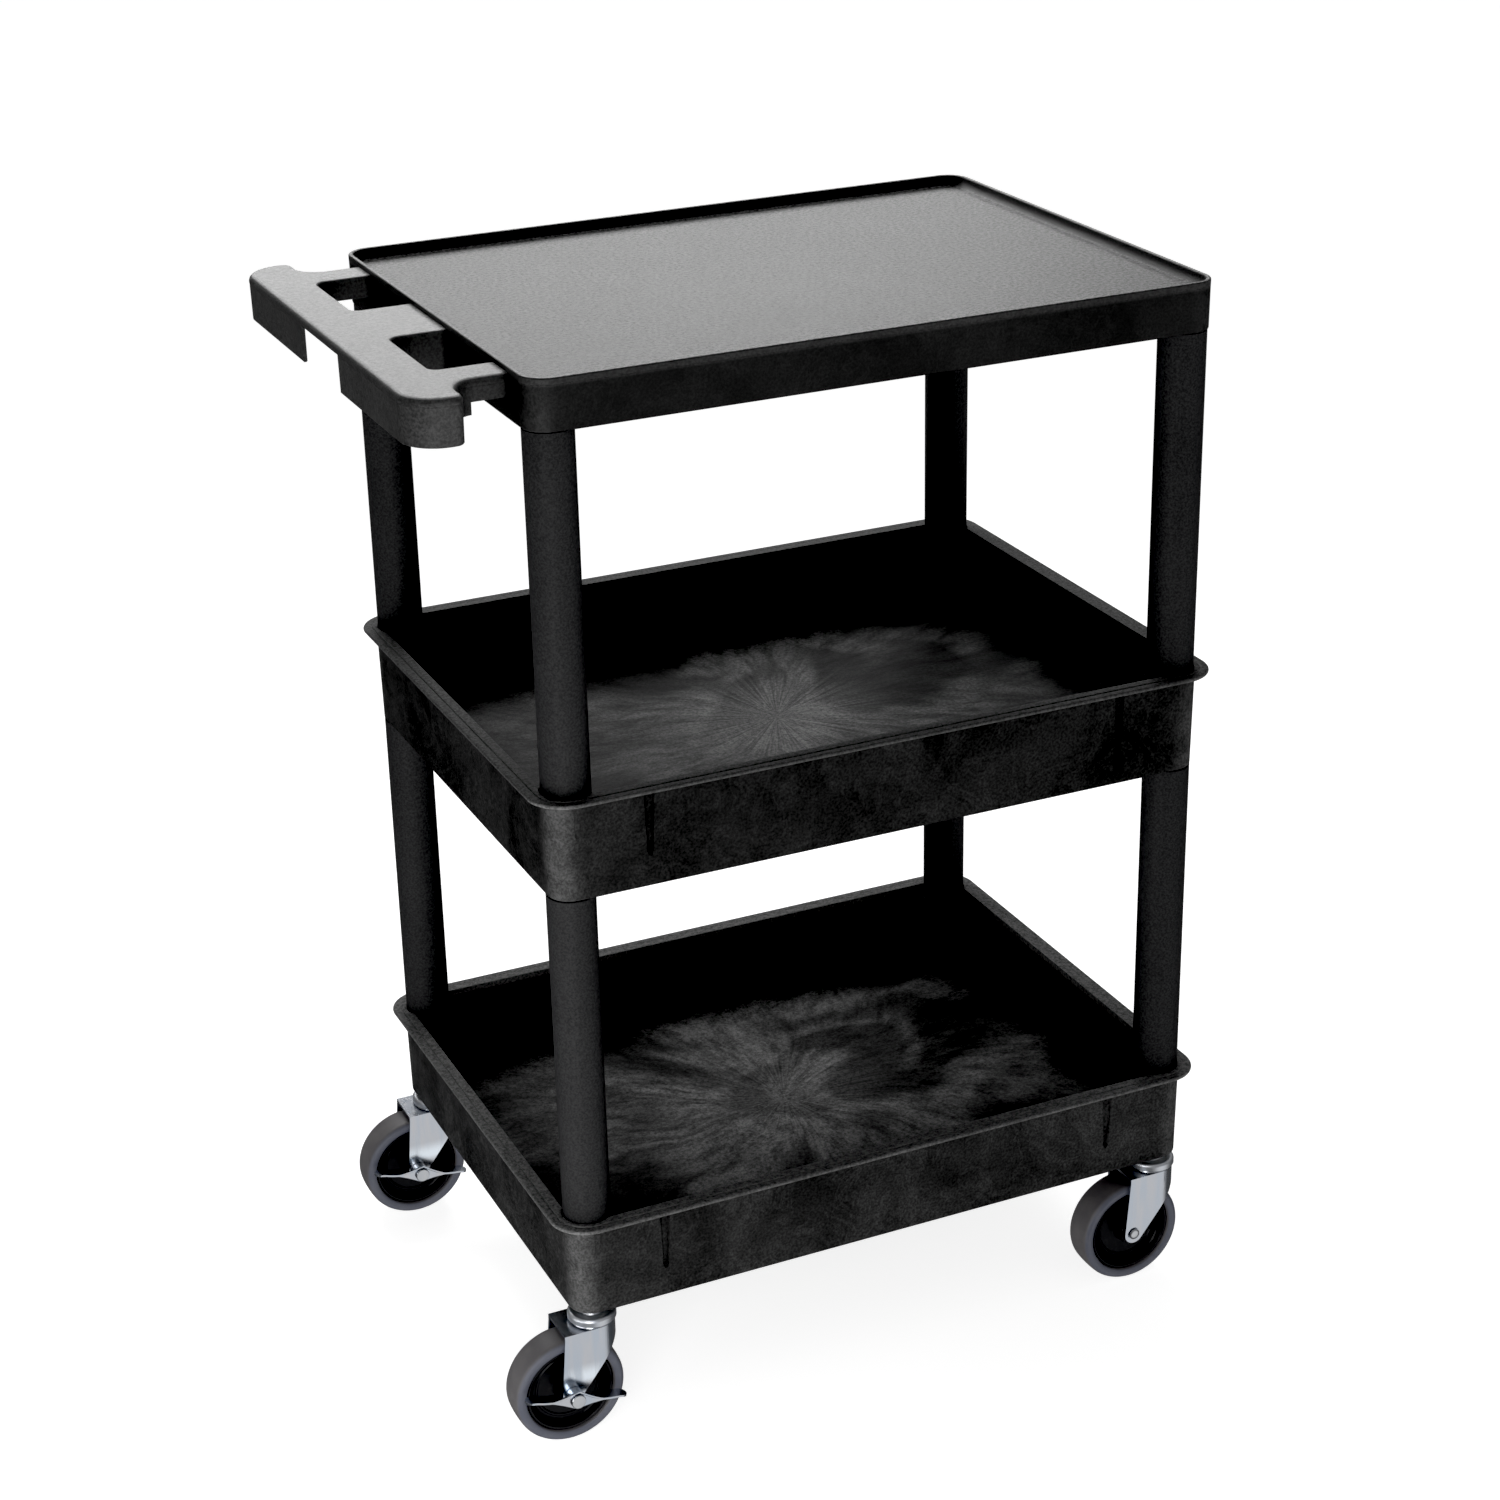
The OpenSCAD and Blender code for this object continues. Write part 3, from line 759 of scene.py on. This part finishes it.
def lever_section(u):
    """The lever's cross-section at u along it, as (outward, up) points of a T: wing and face plate."""
    tip_r = LEVER_DEPTH / 2
    a = abs(u)
    half = LEVER_SHEET_T / 2
    share = max(0.0, 1 - a / LEVER_PLATE_HALF)
    up = half + 8.5 * share ** 1.25
    down = half + 7.1 * share ** 1.15
    outer = LEVER_DEPTH
    root = outer - LEVER_PLATE_T
    inner = root - 0.2
    if a > 13:
        share = min(1.0, (a - 13) / 6)
        inner = (root - 0.2) * (1 - math.sin(share * math.pi / 2))
    if a > LEVER_REACH - tip_r:
        side = math.sqrt(max(0.01, tip_r ** 2 - (a - LEVER_REACH + tip_r) ** 2))
        outer = tip_r + side
        inner = tip_r - side
        root = max(inner + 0.02, min(root, outer - 0.4))
    rim = min(1.3, up * 0.5)
    drop = 0.7 * min(1.0, max(0.0, up - half) / 3)
    lift = 0.9 * math.exp(-((a - 40) / 7) ** 2)
    points = [
        (inner, -half), (root, -half), (root, -down), (outer - drop * 0.6, -down),
        (outer - drop, -down + 0.6), (outer - drop, up - rim - drop), (outer, up - rim), (outer, up),
        (root, up), (root, half), (inner, half),
    ]
    return [(w, v + lift) for w, v in points]


def build_lever(corner, material):
    """The rocking brake lever: a diamond face plate with a raised upper rim, and two round-ended wings."""
    x, y = corner_place(corner)
    stations = []
    reach = LEVER_REACH - 0.05
    count = 96
    for i in range(count + 1):
        u = -reach * math.cos(math.pi * i / count)
        stations.append([(u, v, w) for w, v in lever_section(u)])
    obj = as_object("brake_lever_" + corner + "_sheet", loft(stations))
    boss = [(0, 0), (6.9, 0), (7.5, 0.6), (7.5, LEVER_DEPTH - 0.8), (0, LEVER_DEPTH - 0.8)]
    fuse(obj, lathe(boss, 64, closed=False))
    cut(obj, tube(AXLE_R + 0.08, -2, LEVER_DEPTH + 2, 48))
    place = Matrix.Translation((x, y, 0)) @ ON_AXLE
    place = place @ Matrix.Rotation(math.radians(-LEVER_TILT), 4, "Z")
    place = place @ Matrix.Translation((0, 0, FORK_HALF + LEVER_GAP))
    place_mm(obj, place)
    bevel(obj, 0.35)
    finish_piece(obj, material, "lever_" + corner, "brake_lever_" + corner, 40)


# ---------------------------------------------------------------- materials

# Cool and warm colours and roughness of the steel finishes. The cool colours' blue is partly painted
# reflection of bluish light.
ZINC = ((0.49, 0.545, 0.62), (0.60, 0.60, 0.62), 0.20)
SATIN_ZINC = ((0.62, 0.66, 0.72), (0.72, 0.73, 0.75), 0.36)
BRIGHT_STEEL = ((0.50, 0.52, 0.55), (0.60, 0.61, 0.62), 0.19)
# Colour of the painted glint on the braked forks.
LIT_BLUE = (0.86, 0.93, 1.0)

FOAM_BLACK = (0.005, 0.005, 0.005)
# The deck's pale colour is lighter than the tubs' because the deck's grey is partly painted sheen.
DECK_PALE = (0.45, 0.45, 0.45)
TUB_PALE = (0.22, 0.22, 0.22)
DECK_SPECULAR = 0.30
TUB_SPECULAR = 0.055
# How pale each marked part of a moulding is, as a share of the way from black to the pale colour. The deck,
# middle and bottom sets are lit and shaded copies of one foam: their paleness is partly painted sheen and
# painted light, and the rim, edge, corner and grip amounts are painted highlights.
DECK_LOOK = {"star": 0.5, "marks": 0.08, "speckle": 0.55, "wall": 0.022, "corner": 0.05, "rim": 0.15,
             "edge": 0.05, "grip_top_highlight": 0.40, "grip_side_highlight": 0.070}
MIDDLE_LOOK = {"star": 0.62, "marks": 1.05, "speckle": 0.02, "wall": 0.096, "corner": 0.34, "rim": 0.38,
               "edge": 0.24, "grip_top_highlight": 0.0, "grip_side_highlight": 0.0}
BOTTOM_LOOK = {"star": 0.25, "marks": 1.30, "speckle": 0.02, "wall": 0.140, "corner": 0.32, "rim": 0.55,
               "edge": 0.30, "grip_top_highlight": 0.0, "grip_side_highlight": 0.0}


class Graph:
    """A material's node tree, with one short call for each kind of node that is used."""

    def __init__(self, name):
        self.material = bpy.data.materials.new(name)
        self.material.use_nodes = True
        self.tree = self.material.node_tree
        self.tree.nodes.clear()
        self.shader = self.tree.nodes.new("ShaderNodeBsdfPrincipled")
        output = self.tree.nodes.new("ShaderNodeOutputMaterial")
        self.tree.links.new(self.shader.outputs["BSDF"], output.inputs["Surface"])
        place = self.tree.nodes.new("ShaderNodeTexCoord")
        self.position = place.outputs["Object"]
        self.normal = place.outputs["Normal"]

    def feed(self, socket, value):
        if isinstance(value, bpy.types.NodeSocket):
            self.tree.links.new(value, socket)
        else:
            socket.default_value = value

    def set(self, name, value):
        self.feed(self.shader.inputs[name], value)

    def math(self, operation, a, b=0.0):
        node = self.tree.nodes.new("ShaderNodeMath")
        node.operation = operation
        self.feed(node.inputs[0], a)
        self.feed(node.inputs[1], b)
        return node.outputs[0]

    def vector(self, operation, a, b=None, scale=None):
        node = self.tree.nodes.new("ShaderNodeVectorMath")
        node.operation = operation
        self.feed(node.inputs[0], a)
        if b is not None:
            self.feed(node.inputs[1], b)
        if scale is not None:
            self.feed(node.inputs["Scale"], scale)
        return node.outputs["Value"] if operation in ("LENGTH", "DOT_PRODUCT") else node.outputs["Vector"]

    def noise(self, vector, scale, detail=2.0, roughness=0.5, distortion=0.0, colour=False):
        node = self.tree.nodes.new("ShaderNodeTexNoise")
        self.feed(node.inputs["Vector"], vector)
        node.inputs["Scale"].default_value = scale
        node.inputs["Detail"].default_value = detail
        node.inputs["Roughness"].default_value = roughness
        node.inputs["Distortion"].default_value = distortion
        return node.outputs["Color" if colour else "Fac"]

    def step(self, value, low, high, to_low=0.0, to_high=1.0):
        """A smooth step from to_low at low to to_high at high."""
        node = self.tree.nodes.new("ShaderNodeMapRange")
        node.interpolation_type = "SMOOTHSTEP"
        for name, setting in (("Value", value), ("From Min", low), ("From Max", high),
                              ("To Min", to_low), ("To Max", to_high)):
            self.feed(node.inputs[name], setting)
        return node.outputs["Result"]

    def mix_value(self, share, a, b):
        """A number between a and b."""
        node = self.tree.nodes.new("ShaderNodeMix")
        node.data_type = "FLOAT"
        self.feed(node.inputs[0], share)
        self.feed(node.inputs[2], a)
        self.feed(node.inputs[3], b)
        return node.outputs[0]

    def mix(self, share, a, b):
        """A colour between a and b."""
        node = self.tree.nodes.new("ShaderNodeMix")
        node.data_type = "RGBA"
        self.feed(node.inputs[0], share)
        self.feed(node.inputs[6], (*a, 1) if isinstance(a, tuple) else a)
        self.feed(node.inputs[7], (*b, 1) if isinstance(b, tuple) else b)
        return node.outputs[2]

    def split(self, vector):
        node = self.tree.nodes.new("ShaderNodeSeparateXYZ")
        self.feed(node.inputs[0], vector)
        return node.outputs

    def bump(self, height, strength, distance):
        node = self.tree.nodes.new("ShaderNodeBump")
        self.feed(node.inputs["Height"], height)
        self.feed(node.inputs["Strength"], strength)
        self.feed(node.inputs["Distance"], distance)
        return node.outputs["Normal"]


def floor_marks_and_sheen(g, centre, star_strength):
    """Paleness of a moulded floor, from 0 to 1: a star of fine streaks at the gate, and petals round it.
    Their paleness is partly painted sheen, and the petals fade out away from the middle as painted shade.
    """
    drift = g.noise(g.position, 4.0, 2.0, 0.5, colour=True)
    drift = g.vector("SCALE", g.vector("SUBTRACT", drift, (0.5, 0.5, 0.5)), scale=0.20)
    flat = g.vector("MULTIPLY", g.vector("SUBTRACT", g.position, centre), (1, 1, 0))
    warped = g.vector("ADD", flat, drift)
    distance = g.vector("LENGTH", flat)
    fine = g.noise(g.vector("SCALE", g.vector("NORMALIZE", flat), scale=12.0), 2.4, 4.0, 0.7)
    spokes = g.vector("ADD", g.vector("SCALE", g.vector("NORMALIZE", warped), scale=3.0),
                      g.vector("SCALE", flat, scale=9.0))
    streaks = g.noise(spokes, 2.2, 6.0, 0.70)
    star = g.math("MULTIPLY", g.step(distance, 0.13, 0.012), g.step(fine, 0.36, 0.62, 0.15, 1.0))
    sheet = g.noise(warped, 5.0, 2.0, 0.45, 0.8)
    petals = g.math("MULTIPLY", g.step(sheet, 0.42, 0.53), g.step(sheet, 0.76, 0.55))
    body = g.math("ADD", g.math("MULTIPLY", petals, 0.40), 0.12)
    body = g.math("MULTIPLY", body, g.step(streaks, 0.32, 0.66, 0.30, 1.0))
    # The petals fade to dark away from the middle, towards the walls: painted shade.
    body = g.math("MULTIPLY", body, g.step(distance, 0.38, 0.12))
    return g.math("ADD", g.math("MULTIPLY", star, star_strength), body)


def wall_marks_and_sheen(g):
    """Paleness of a moulded wall: faint clouds of flow marks, with soft creased edges of painted sheen."""
    swirl = g.noise(g.position, 19.0, 6.0, 0.62, 1.3)
    painted_sheen_edge = g.step(g.math("ABSOLUTE", g.math("SUBTRACT", swirl, 0.5)), 0.035, 0.0)
    cloud = g.step(g.noise(g.position, 12.0, 7.0, 0.68, 0.4), 0.32, 0.70, 0.58, 1.35)
    return g.math("ADD", cloud, g.math("MULTIPLY", painted_sheen_edge, 0.30))


def corner_painted_highlight(g, centre):
    """Painted highlight at the upright corners: 1 there, broken up by noise, and 0 along the walls."""
    x, y = g.split(g.vector("SUBTRACT", g.position, centre))[:2]
    near_x = g.step(g.math("ABSOLUTE", x), (LEG_X - 10) * MM, (HALF_L - 3) * MM)
    near_y = g.step(g.math("ABSOLUTE", y), (LEG_Y - 10) * MM, (HALF_W - 3) * MM)
    highlight_breakup = g.step(g.noise(g.position, 40.0, 7.0, 0.75, 0.8), 0.30, 0.66, 0.30, 1.0)
    return g.math("MULTIPLY", g.math("MULTIPLY", near_x, near_y), highlight_breakup)


def moulded_plastic(name, centre, rim_z, pale, specular, amounts):
    """Black structural foam with pebble grain.

    Its floors have flow marks and its walls clouds, both paler partly as painted sheen, and tops are
    painted paler than sides. Corners, rim and grip get painted highlights.
    """
    g = Graph(name)
    # Upward faces take the floor paleness and the rest take the wall paleness, so tops are painted paler
    # than sides: painted sheen.
    up = g.step(g.split(g.normal)[2], 0.75, 0.95)
    # on_rim: the band within a few millimetres of the rim top, which gets a painted highlight below.
    on_rim = g.step(g.split(g.position)[2], (rim_z - 8) * MM, (rim_z - 5) * MM)
    # on_grip: the handle, which gets a painted highlight on its top and sides below.
    along = g.split(g.vector("SUBTRACT", g.position, centre))[0]
    on_grip = g.step(along, -(HALF_L + 1) * MM, -(HALF_L + 6) * MM)
    fine = g.noise(g.position, 430.0, 3.0, 0.62)
    coarse = g.noise(g.position, 300.0, 4.0, 0.85)
    pebble = g.mix_value(up, fine, coarse)
    speck = g.step(pebble, 0.34, 0.66)
    marks = g.math("MULTIPLY", floor_marks_and_sheen(g, centre, amounts["star"]), amounts["marks"])
    # On the rim band the rim amount replaces the marks: a painted highlight along the rim top.
    floor = g.mix_value(on_rim, marks, amounts["rim"])
    floor = g.math("MULTIPLY", floor, g.math("ADD", g.math("MULTIPLY", speck, 0.9), 0.45))
    floor = g.math("ADD", floor, g.math("MULTIPLY", speck, amounts["speckle"]))
    grip = amounts["grip_top_highlight"]
    # A painted highlight on the handle's top, broken up by the grain.
    grip_top_highlight = g.math("MULTIPLY", on_grip, g.step(speck, 0.0, 1.0, grip * 1.15, grip * 0.65))
    floor = g.math("ADD", floor, grip_top_highlight)
    wall = g.math("MULTIPLY", wall_marks_and_sheen(g), amounts["wall"])
    # A painted highlight at the upright corners.
    wall = g.math("ADD", wall, g.math("MULTIPLY", corner_painted_highlight(g, centre), amounts["corner"]))
    # A painted highlight on the handle's sides.
    wall = g.math("ADD", wall, g.math("MULTIPLY", on_grip, amounts["grip_side_highlight"]))
    # The edge amount: a painted highlight on the faces just under the rim.
    wall = g.math("ADD", wall, g.math("MULTIPLY", on_rim, amounts["edge"]))
    wall = g.math("MULTIPLY", wall, g.math("ADD", g.math("MULTIPLY", speck, 0.6), 0.70))
    g.set("Base Color", g.mix(g.mix_value(up, wall, floor), FOAM_BLACK, pale))
    mottle = g.noise(g.position, 60.0, 4.0, 0.6)
    g.set("Roughness", g.math("ADD", g.step(mottle, 0.3, 0.7, 0.50, 0.53), g.math("MULTIPLY", speck, 0.06)))
    g.shader.inputs["Specular IOR Level"].default_value = specular
    g.set("Normal", g.bump(pebble, 0.40, 0.0007))
    return g.material


def leg_plastic():
    """Extruded tube: satin black with faint draw lines along its length."""
    g = Graph("leg_satin_plastic")
    lines = g.noise(g.vector("MULTIPLY", g.position, (1, 1, 0.02)), 420.0, 3.0, 0.6)
    haze = g.noise(g.position, 14.0, 3.0, 0.5)
    fleck = g.noise(g.position, 520.0, 3.0, 0.7)
    tone = g.math("ADD", g.math("MULTIPLY", haze, 0.4), g.step(fleck, 0.32, 0.68, 0.0, 0.6))
    g.set("Base Color", g.mix(tone, (0.018, 0.018, 0.0185), (0.046, 0.046, 0.047)))
    g.set("Roughness", g.math("ADD", g.step(haze, 0.3, 0.7, 0.52, 0.58), g.math("MULTIPLY", lines, 0.05)))
    g.shader.inputs["Specular IOR Level"].default_value = 0.14
    grain = g.noise(g.position, 900.0, 2.0, 0.5)
    g.set("Normal", g.bump(g.math("ADD", lines, g.math("MULTIPLY", grain, 0.6)), 0.12, 0.0003))
    return g.material


def core_plastic():
    """Glossy black nylon of the wheel cores, with a little dust in it."""
    g = Graph("core_gloss_plastic")
    dust = g.noise(g.position, 180.0, 4.0, 0.6)
    g.set("Base Color", g.mix(g.step(dust, 0.5, 0.8), (0.020, 0.020, 0.021), (0.026, 0.026, 0.027)))
    g.set("Roughness", g.step(dust, 0.3, 0.75, 0.20, 0.23))
    g.shader.inputs["Specular IOR Level"].default_value = 0.10
    g.set("Normal", g.bump(g.noise(g.position, 700.0, 2.0), 0.02, 0.0002))
    return g.material


def tyre_rubber():
    """Grey non-marking rubber: matt, with fine mould grain and slight soiling. Its side walls are tinted
    bluish as painted sky light.
    """
    g = Graph("tyre_grey_rubber")
    soil = g.noise(g.position, 55.0, 5.0, 0.6)
    speckle = g.noise(g.position, 700.0, 3.0, 0.6)
    # Side walls get a bluish tint: painted sky light.
    side_on = g.step(g.math("ABSOLUTE", g.split(g.normal)[1]), 0.35, 0.85)
    tread = g.mix(g.step(soil, 0.35, 0.75), (0.098, 0.094, 0.098), (0.122, 0.117, 0.118))
    side = g.mix(g.step(soil, 0.35, 0.75), (0.090, 0.096, 0.122), (0.112, 0.116, 0.140))
    tread_and_sky_tinted_side = g.mix(side_on, tread, side)
    g.set("Base Color", g.mix(g.step(speckle, 0.55, 0.8, 0.0, 0.5), tread_and_sky_tinted_side, (0.085, 0.085, 0.095)))
    g.set("Roughness", g.step(soil, 0.3, 0.7, 0.46, 0.58))
    g.set("Normal", g.bump(speckle, 0.14, 0.0003))
    return g.material


def plated_steel(name, cool, warm, roughness, lit=False):
    """Plated steel: soft cool and warm bands along the sheet, partly painted reflection, and fine rolling
    lines.

    A lit one has a painted glint: a paler bluish patch across the fork's legs, behind the brake lever,
    where light is thrown off the lever.
    """
    g = Graph(name)
    bands = g.noise(g.vector("MULTIPLY", g.position, (1, 1, 0.12)), 75.0, 3.0, 0.55)
    lines = g.noise(g.vector("MULTIPLY", g.position, (1, 1, 0.06)), 600.0, 3.0, 0.6)
    tone = g.math("ADD", g.step(bands, 0.30, 0.70, 0.0, 0.85), g.math("MULTIPLY", lines, 0.15))
    colour = g.mix(tone, cool, warm)
    if lit:
        # The painted glint: a paler bluish band across the legs just above the lever.
        z = g.split(g.position)[2]
        band = g.math("MULTIPLY", g.step(z, 0.056, 0.064), g.step(z, 0.080, 0.066))
        painted_glint = g.math("MULTIPLY", band, g.step(bands, 0.38, 0.56, 0.25, 1.0))
        colour = g.mix(painted_glint, colour, LIT_BLUE)
    g.set("Base Color", colour)
    g.set("Metallic", 1.0)
    g.set("Roughness", g.math("ADD", g.step(bands, 0.3, 0.7, roughness, roughness + 0.05),
                              g.math("MULTIPLY", lines, 0.03)))
    g.set("Normal", g.bump(lines, 0.03, 0.0003))
    return g.material


def sleeve_plastic():
    """Milky nylon of the stem sockets."""
    g = Graph("sleeve_nylon")
    cloud = g.noise(g.position, 90.0, 3.0)
    g.set("Base Color", g.mix(cloud, (0.30, 0.30, 0.28), (0.38, 0.38, 0.36)))
    g.set("Roughness", g.step(cloud, 0.3, 0.7, 0.42, 0.52))
    g.set("Normal", g.bump(g.noise(g.position, 800.0), 0.08, 0.0003))
    return g.material


# ---------------------------------------------------------------- object

def dress_node(node, material):
    """Gives a CAD node that stays its finished material."""
    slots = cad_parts[node].data.materials
    slots.clear()
    slots.append(material)


def build_object():
    floor_centre = (CENTRE_X * MM, 0, 0)
    deck = moulded_plastic("deck_structural_foam", floor_centre, shelf_high.z, DECK_PALE, DECK_SPECULAR,
                           DECK_LOOK)
    leg = leg_plastic()
    core = core_plastic()
    rubber = tyre_rubber()
    zinc = plated_steel("zinc_plated_sheet", *ZINC)
    lit_zinc = plated_steel("zinc_plated_sheet_with_painted_glint", *ZINC, lit=True)
    satin = plated_steel("satin_zinc", *SATIN_ZINC)
    bright = plated_steel("bright_turned_steel", *BRIGHT_STEEL)
    nylon = sleeve_plastic()
    build_top_shelf(deck)
    middle_rim_z = tub_high.z
    bottom_rim_z = box_mm("bottom_tub")[1].z
    for node, rim_z, look in (("middle_tub", middle_rim_z, MIDDLE_LOOK),
                              ("bottom_tub", bottom_rim_z, BOTTOM_LOOK)):
        foam = moulded_plastic(node + "_structural_foam", floor_centre, rim_z, TUB_PALE, TUB_SPECULAR, look)
        build_tub(node, foam, node == "bottom_tub")
    for corner in CORNERS:
        build_leg("upper_leg_" + corner, leg, middle_rim_z - SEAT_DROP, shelf_low.z, TOP_SPIGOT_L)
        build_leg("lower_leg_" + corner, leg, bottom_rim_z - SEAT_DROP, tub_low.z, SPIGOT_L)
        build_fork(corner, lit_zinc if corner in BRAKED else zinc)
        build_race_cup(corner, satin)
        build_stem(corner, zinc)
        build_wheel_core(corner, core)
        build_tyre(corner, rubber)
        build_axle(corner, bright)
        build_nut(corner, bright)
        dress_node("race_balls_" + corner, bright)
        dress_node("axle_sleeve_" + corner, bright)
        if corner in BRAKED:
            build_lever(corner, zinc)
    dress_node("stem_sleeves", nylon)


# ---------------------------------------------------------------- stage

CAMERA_OFFSET = (-1.0407, -2.2514, 0.6315)
CAMERA_HEADING = 24.233
CAMERA_DIP = 23.543
CAMERA_ROLL = -1.29
CAMERA_LENS = 71.43

# Name, place, the point it is aimed at, width and height, and power of each panel of light
LIGHTS = (
    ("back_panel", (0.24, 1.4, 1.78), (-0.05, 0, 0.95), (1.9, 0.8), 30.5),
    ("front_left_panel", (-0.66, -0.84, 0.35), (-0.27, -0.2, 0.33), (0.30, 0.68), 3.3),
    ("left_panel", (-0.86, -0.28, 0.15), (-0.33, -0.05, 0.20), (0.5, 0.26), 0.95),
)
FLOOR_GLOW = 0.80
FLOOR_HALF = 30
BACKDROP_R = 28
BACKDROP_GLOW = 1.1
BACKDROP_SIDES = 48

# Strength of the surround below and overhead, and the heights between which it changes
SKY_LIGHT = (0.10, 0.35)
SKY_RISE = (-0.15, 0.75)
# The bright card: the way to it, its strength, and its edge as cosines of the angle off that way
CARD_DIRECTION = (0.376, -0.836, -0.40)
CARD_LIGHT = 0.75
CARD_EDGE = (0.76, 0.96)
BLACK_POINT = 0.020


def build_camera():
    """The camera, placed from the middle of the shelves at the height of the lip."""
    data = bpy.data.cameras.new("camera")
    data.lens = CAMERA_LENS
    data.sensor_width = 36
    data.clip_end = 100
    camera = bpy.data.objects.new("camera", data)
    bpy.context.scene.collection.objects.link(camera)
    heading = math.radians(CAMERA_HEADING)
    dip = math.radians(CAMERA_DIP)
    forward = Vector((math.sin(heading) * math.cos(dip), math.cos(heading) * math.cos(dip), -math.sin(dip)))
    camera.location = Vector((CENTRE_X * MM, 0, shelf_high.z * MM)) + Vector(CAMERA_OFFSET)
    look = forward.to_track_quat("-Z", "Y").to_matrix().to_4x4()
    camera.rotation_euler = (look @ Matrix.Rotation(math.radians(CAMERA_ROLL), 4, "Z")).to_euler()
    bpy.context.scene.camera = camera


def area_light(name, place, target, size, power):
    data = bpy.data.lights.new(name, "AREA")
    data.shape = "RECTANGLE"
    data.size, data.size_y = size
    data.energy = power
    light = bpy.data.objects.new(name, data)
    bpy.context.scene.collection.objects.link(light)
    light.location = place
    light.rotation_euler = (Vector(target) - Vector(place)).to_track_quat("-Z", "Y").to_euler()
    light.visible_camera = False


def paper(name, glow):
    """Matt white paper that shines a little by itself, so that it comes out white."""
    g = Graph(name)
    grain = g.noise(g.position, 3.0, 2.0)
    g.set("Base Color", g.mix(grain, (0.66, 0.66, 0.66), (0.68, 0.68, 0.68)))
    g.set("Roughness", 1.0)
    g.shader.inputs["Specular IOR Level"].default_value = 0.0
    g.shader.inputs["Emission Color"].default_value = (1, 1, 1, 1)
    g.shader.inputs["Emission Strength"].default_value = glow
    return g.material


def stage_sheet(name, points, faces, material):
    """A sheet of the studio, which glossy surfaces don't mirror."""
    data = bpy.data.meshes.new(name)
    data.from_pydata(points, [], faces)
    data.materials.append(material)
    sheet = bpy.data.objects.new(name, data)
    bpy.context.scene.collection.objects.link(sheet)
    sheet.visible_glossy = False
    return sheet


def build_floor():
    size = FLOOR_HALF
    corners = [(-size, -size, 0), (size, -size, 0), (size, size, 0), (-size, size, 0)]
    stage_sheet("floor", corners, [(0, 1, 2, 3)], paper("floor_paper", FLOOR_GLOW))


def build_backdrop():
    """A round wall far behind everything, seen by the camera only."""
    count = BACKDROP_SIDES
    points = []
    for i in range(count):
        a = 2 * math.pi * i / count
        x = BACKDROP_R * math.cos(a)
        y = BACKDROP_R * math.sin(a)
        points += [(x, y, 0), (x, y, BACKDROP_R)]
    faces = [(2 * i, 2 * i + 1, (2 * i + 3) % (2 * count), (2 * i + 2) % (2 * count)) for i in range(count)]
    wall = stage_sheet("backdrop", points, faces, paper("backdrop_paper", BACKDROP_GLOW))
    wall.visible_diffuse = False
    wall.visible_shadow = False


def build_sky():
    """A soft surround: brighter overhead than below, and brightest low down in front on the right."""
    world = bpy.data.worlds.new("studio")
    world.use_nodes = True
    bpy.context.scene.world = world
    tree = world.node_tree
    place = tree.nodes.new("ShaderNodeTexCoord").outputs["Generated"]
    parts = tree.nodes.new("ShaderNodeSeparateXYZ")
    tree.links.new(place, parts.inputs[0])
    aim = tree.nodes.new("ShaderNodeVectorMath")
    aim.operation = "DOT_PRODUCT"
    aim.inputs[1].default_value = CARD_DIRECTION
    tree.links.new(place, aim.inputs[0])
    total = None
    for value, start, end, low, high in (
        (parts.outputs[2], *SKY_RISE, *SKY_LIGHT),
        (aim.outputs["Value"], *CARD_EDGE, 0.0, CARD_LIGHT),
    ):
        ramp = tree.nodes.new("ShaderNodeMapRange")
        ramp.interpolation_type = "SMOOTHSTEP"
        for name, setting in (("From Min", start), ("From Max", end), ("To Min", low), ("To Max", high)):
            ramp.inputs[name].default_value = setting
        tree.links.new(value, ramp.inputs["Value"])
        if total is None:
            total = ramp.outputs["Result"]
            continue
        add = tree.nodes.new("ShaderNodeMath")
        tree.links.new(total, add.inputs[0])
        tree.links.new(ramp.outputs["Result"], add.inputs[1])
        total = add.outputs[0]
    background = tree.nodes["Background"]
    background.inputs["Color"].default_value = (1, 1, 1, 1)
    tree.links.new(total, background.inputs["Strength"])


def build_stage():
    build_floor()
    build_backdrop()
    build_sky()
    for panel in LIGHTS:
        area_light(*panel)
    scene = bpy.context.scene
    scene.view_settings.view_transform = "Standard"
    scene.view_settings.look = "None"
    scene.view_settings.use_curve_mapping = True
    curve = scene.view_settings.curve_mapping
    curve.black_level = (BLACK_POINT, BLACK_POINT, BLACK_POINT)
    curve.update()


build_camera()
build_object()
build_stage()
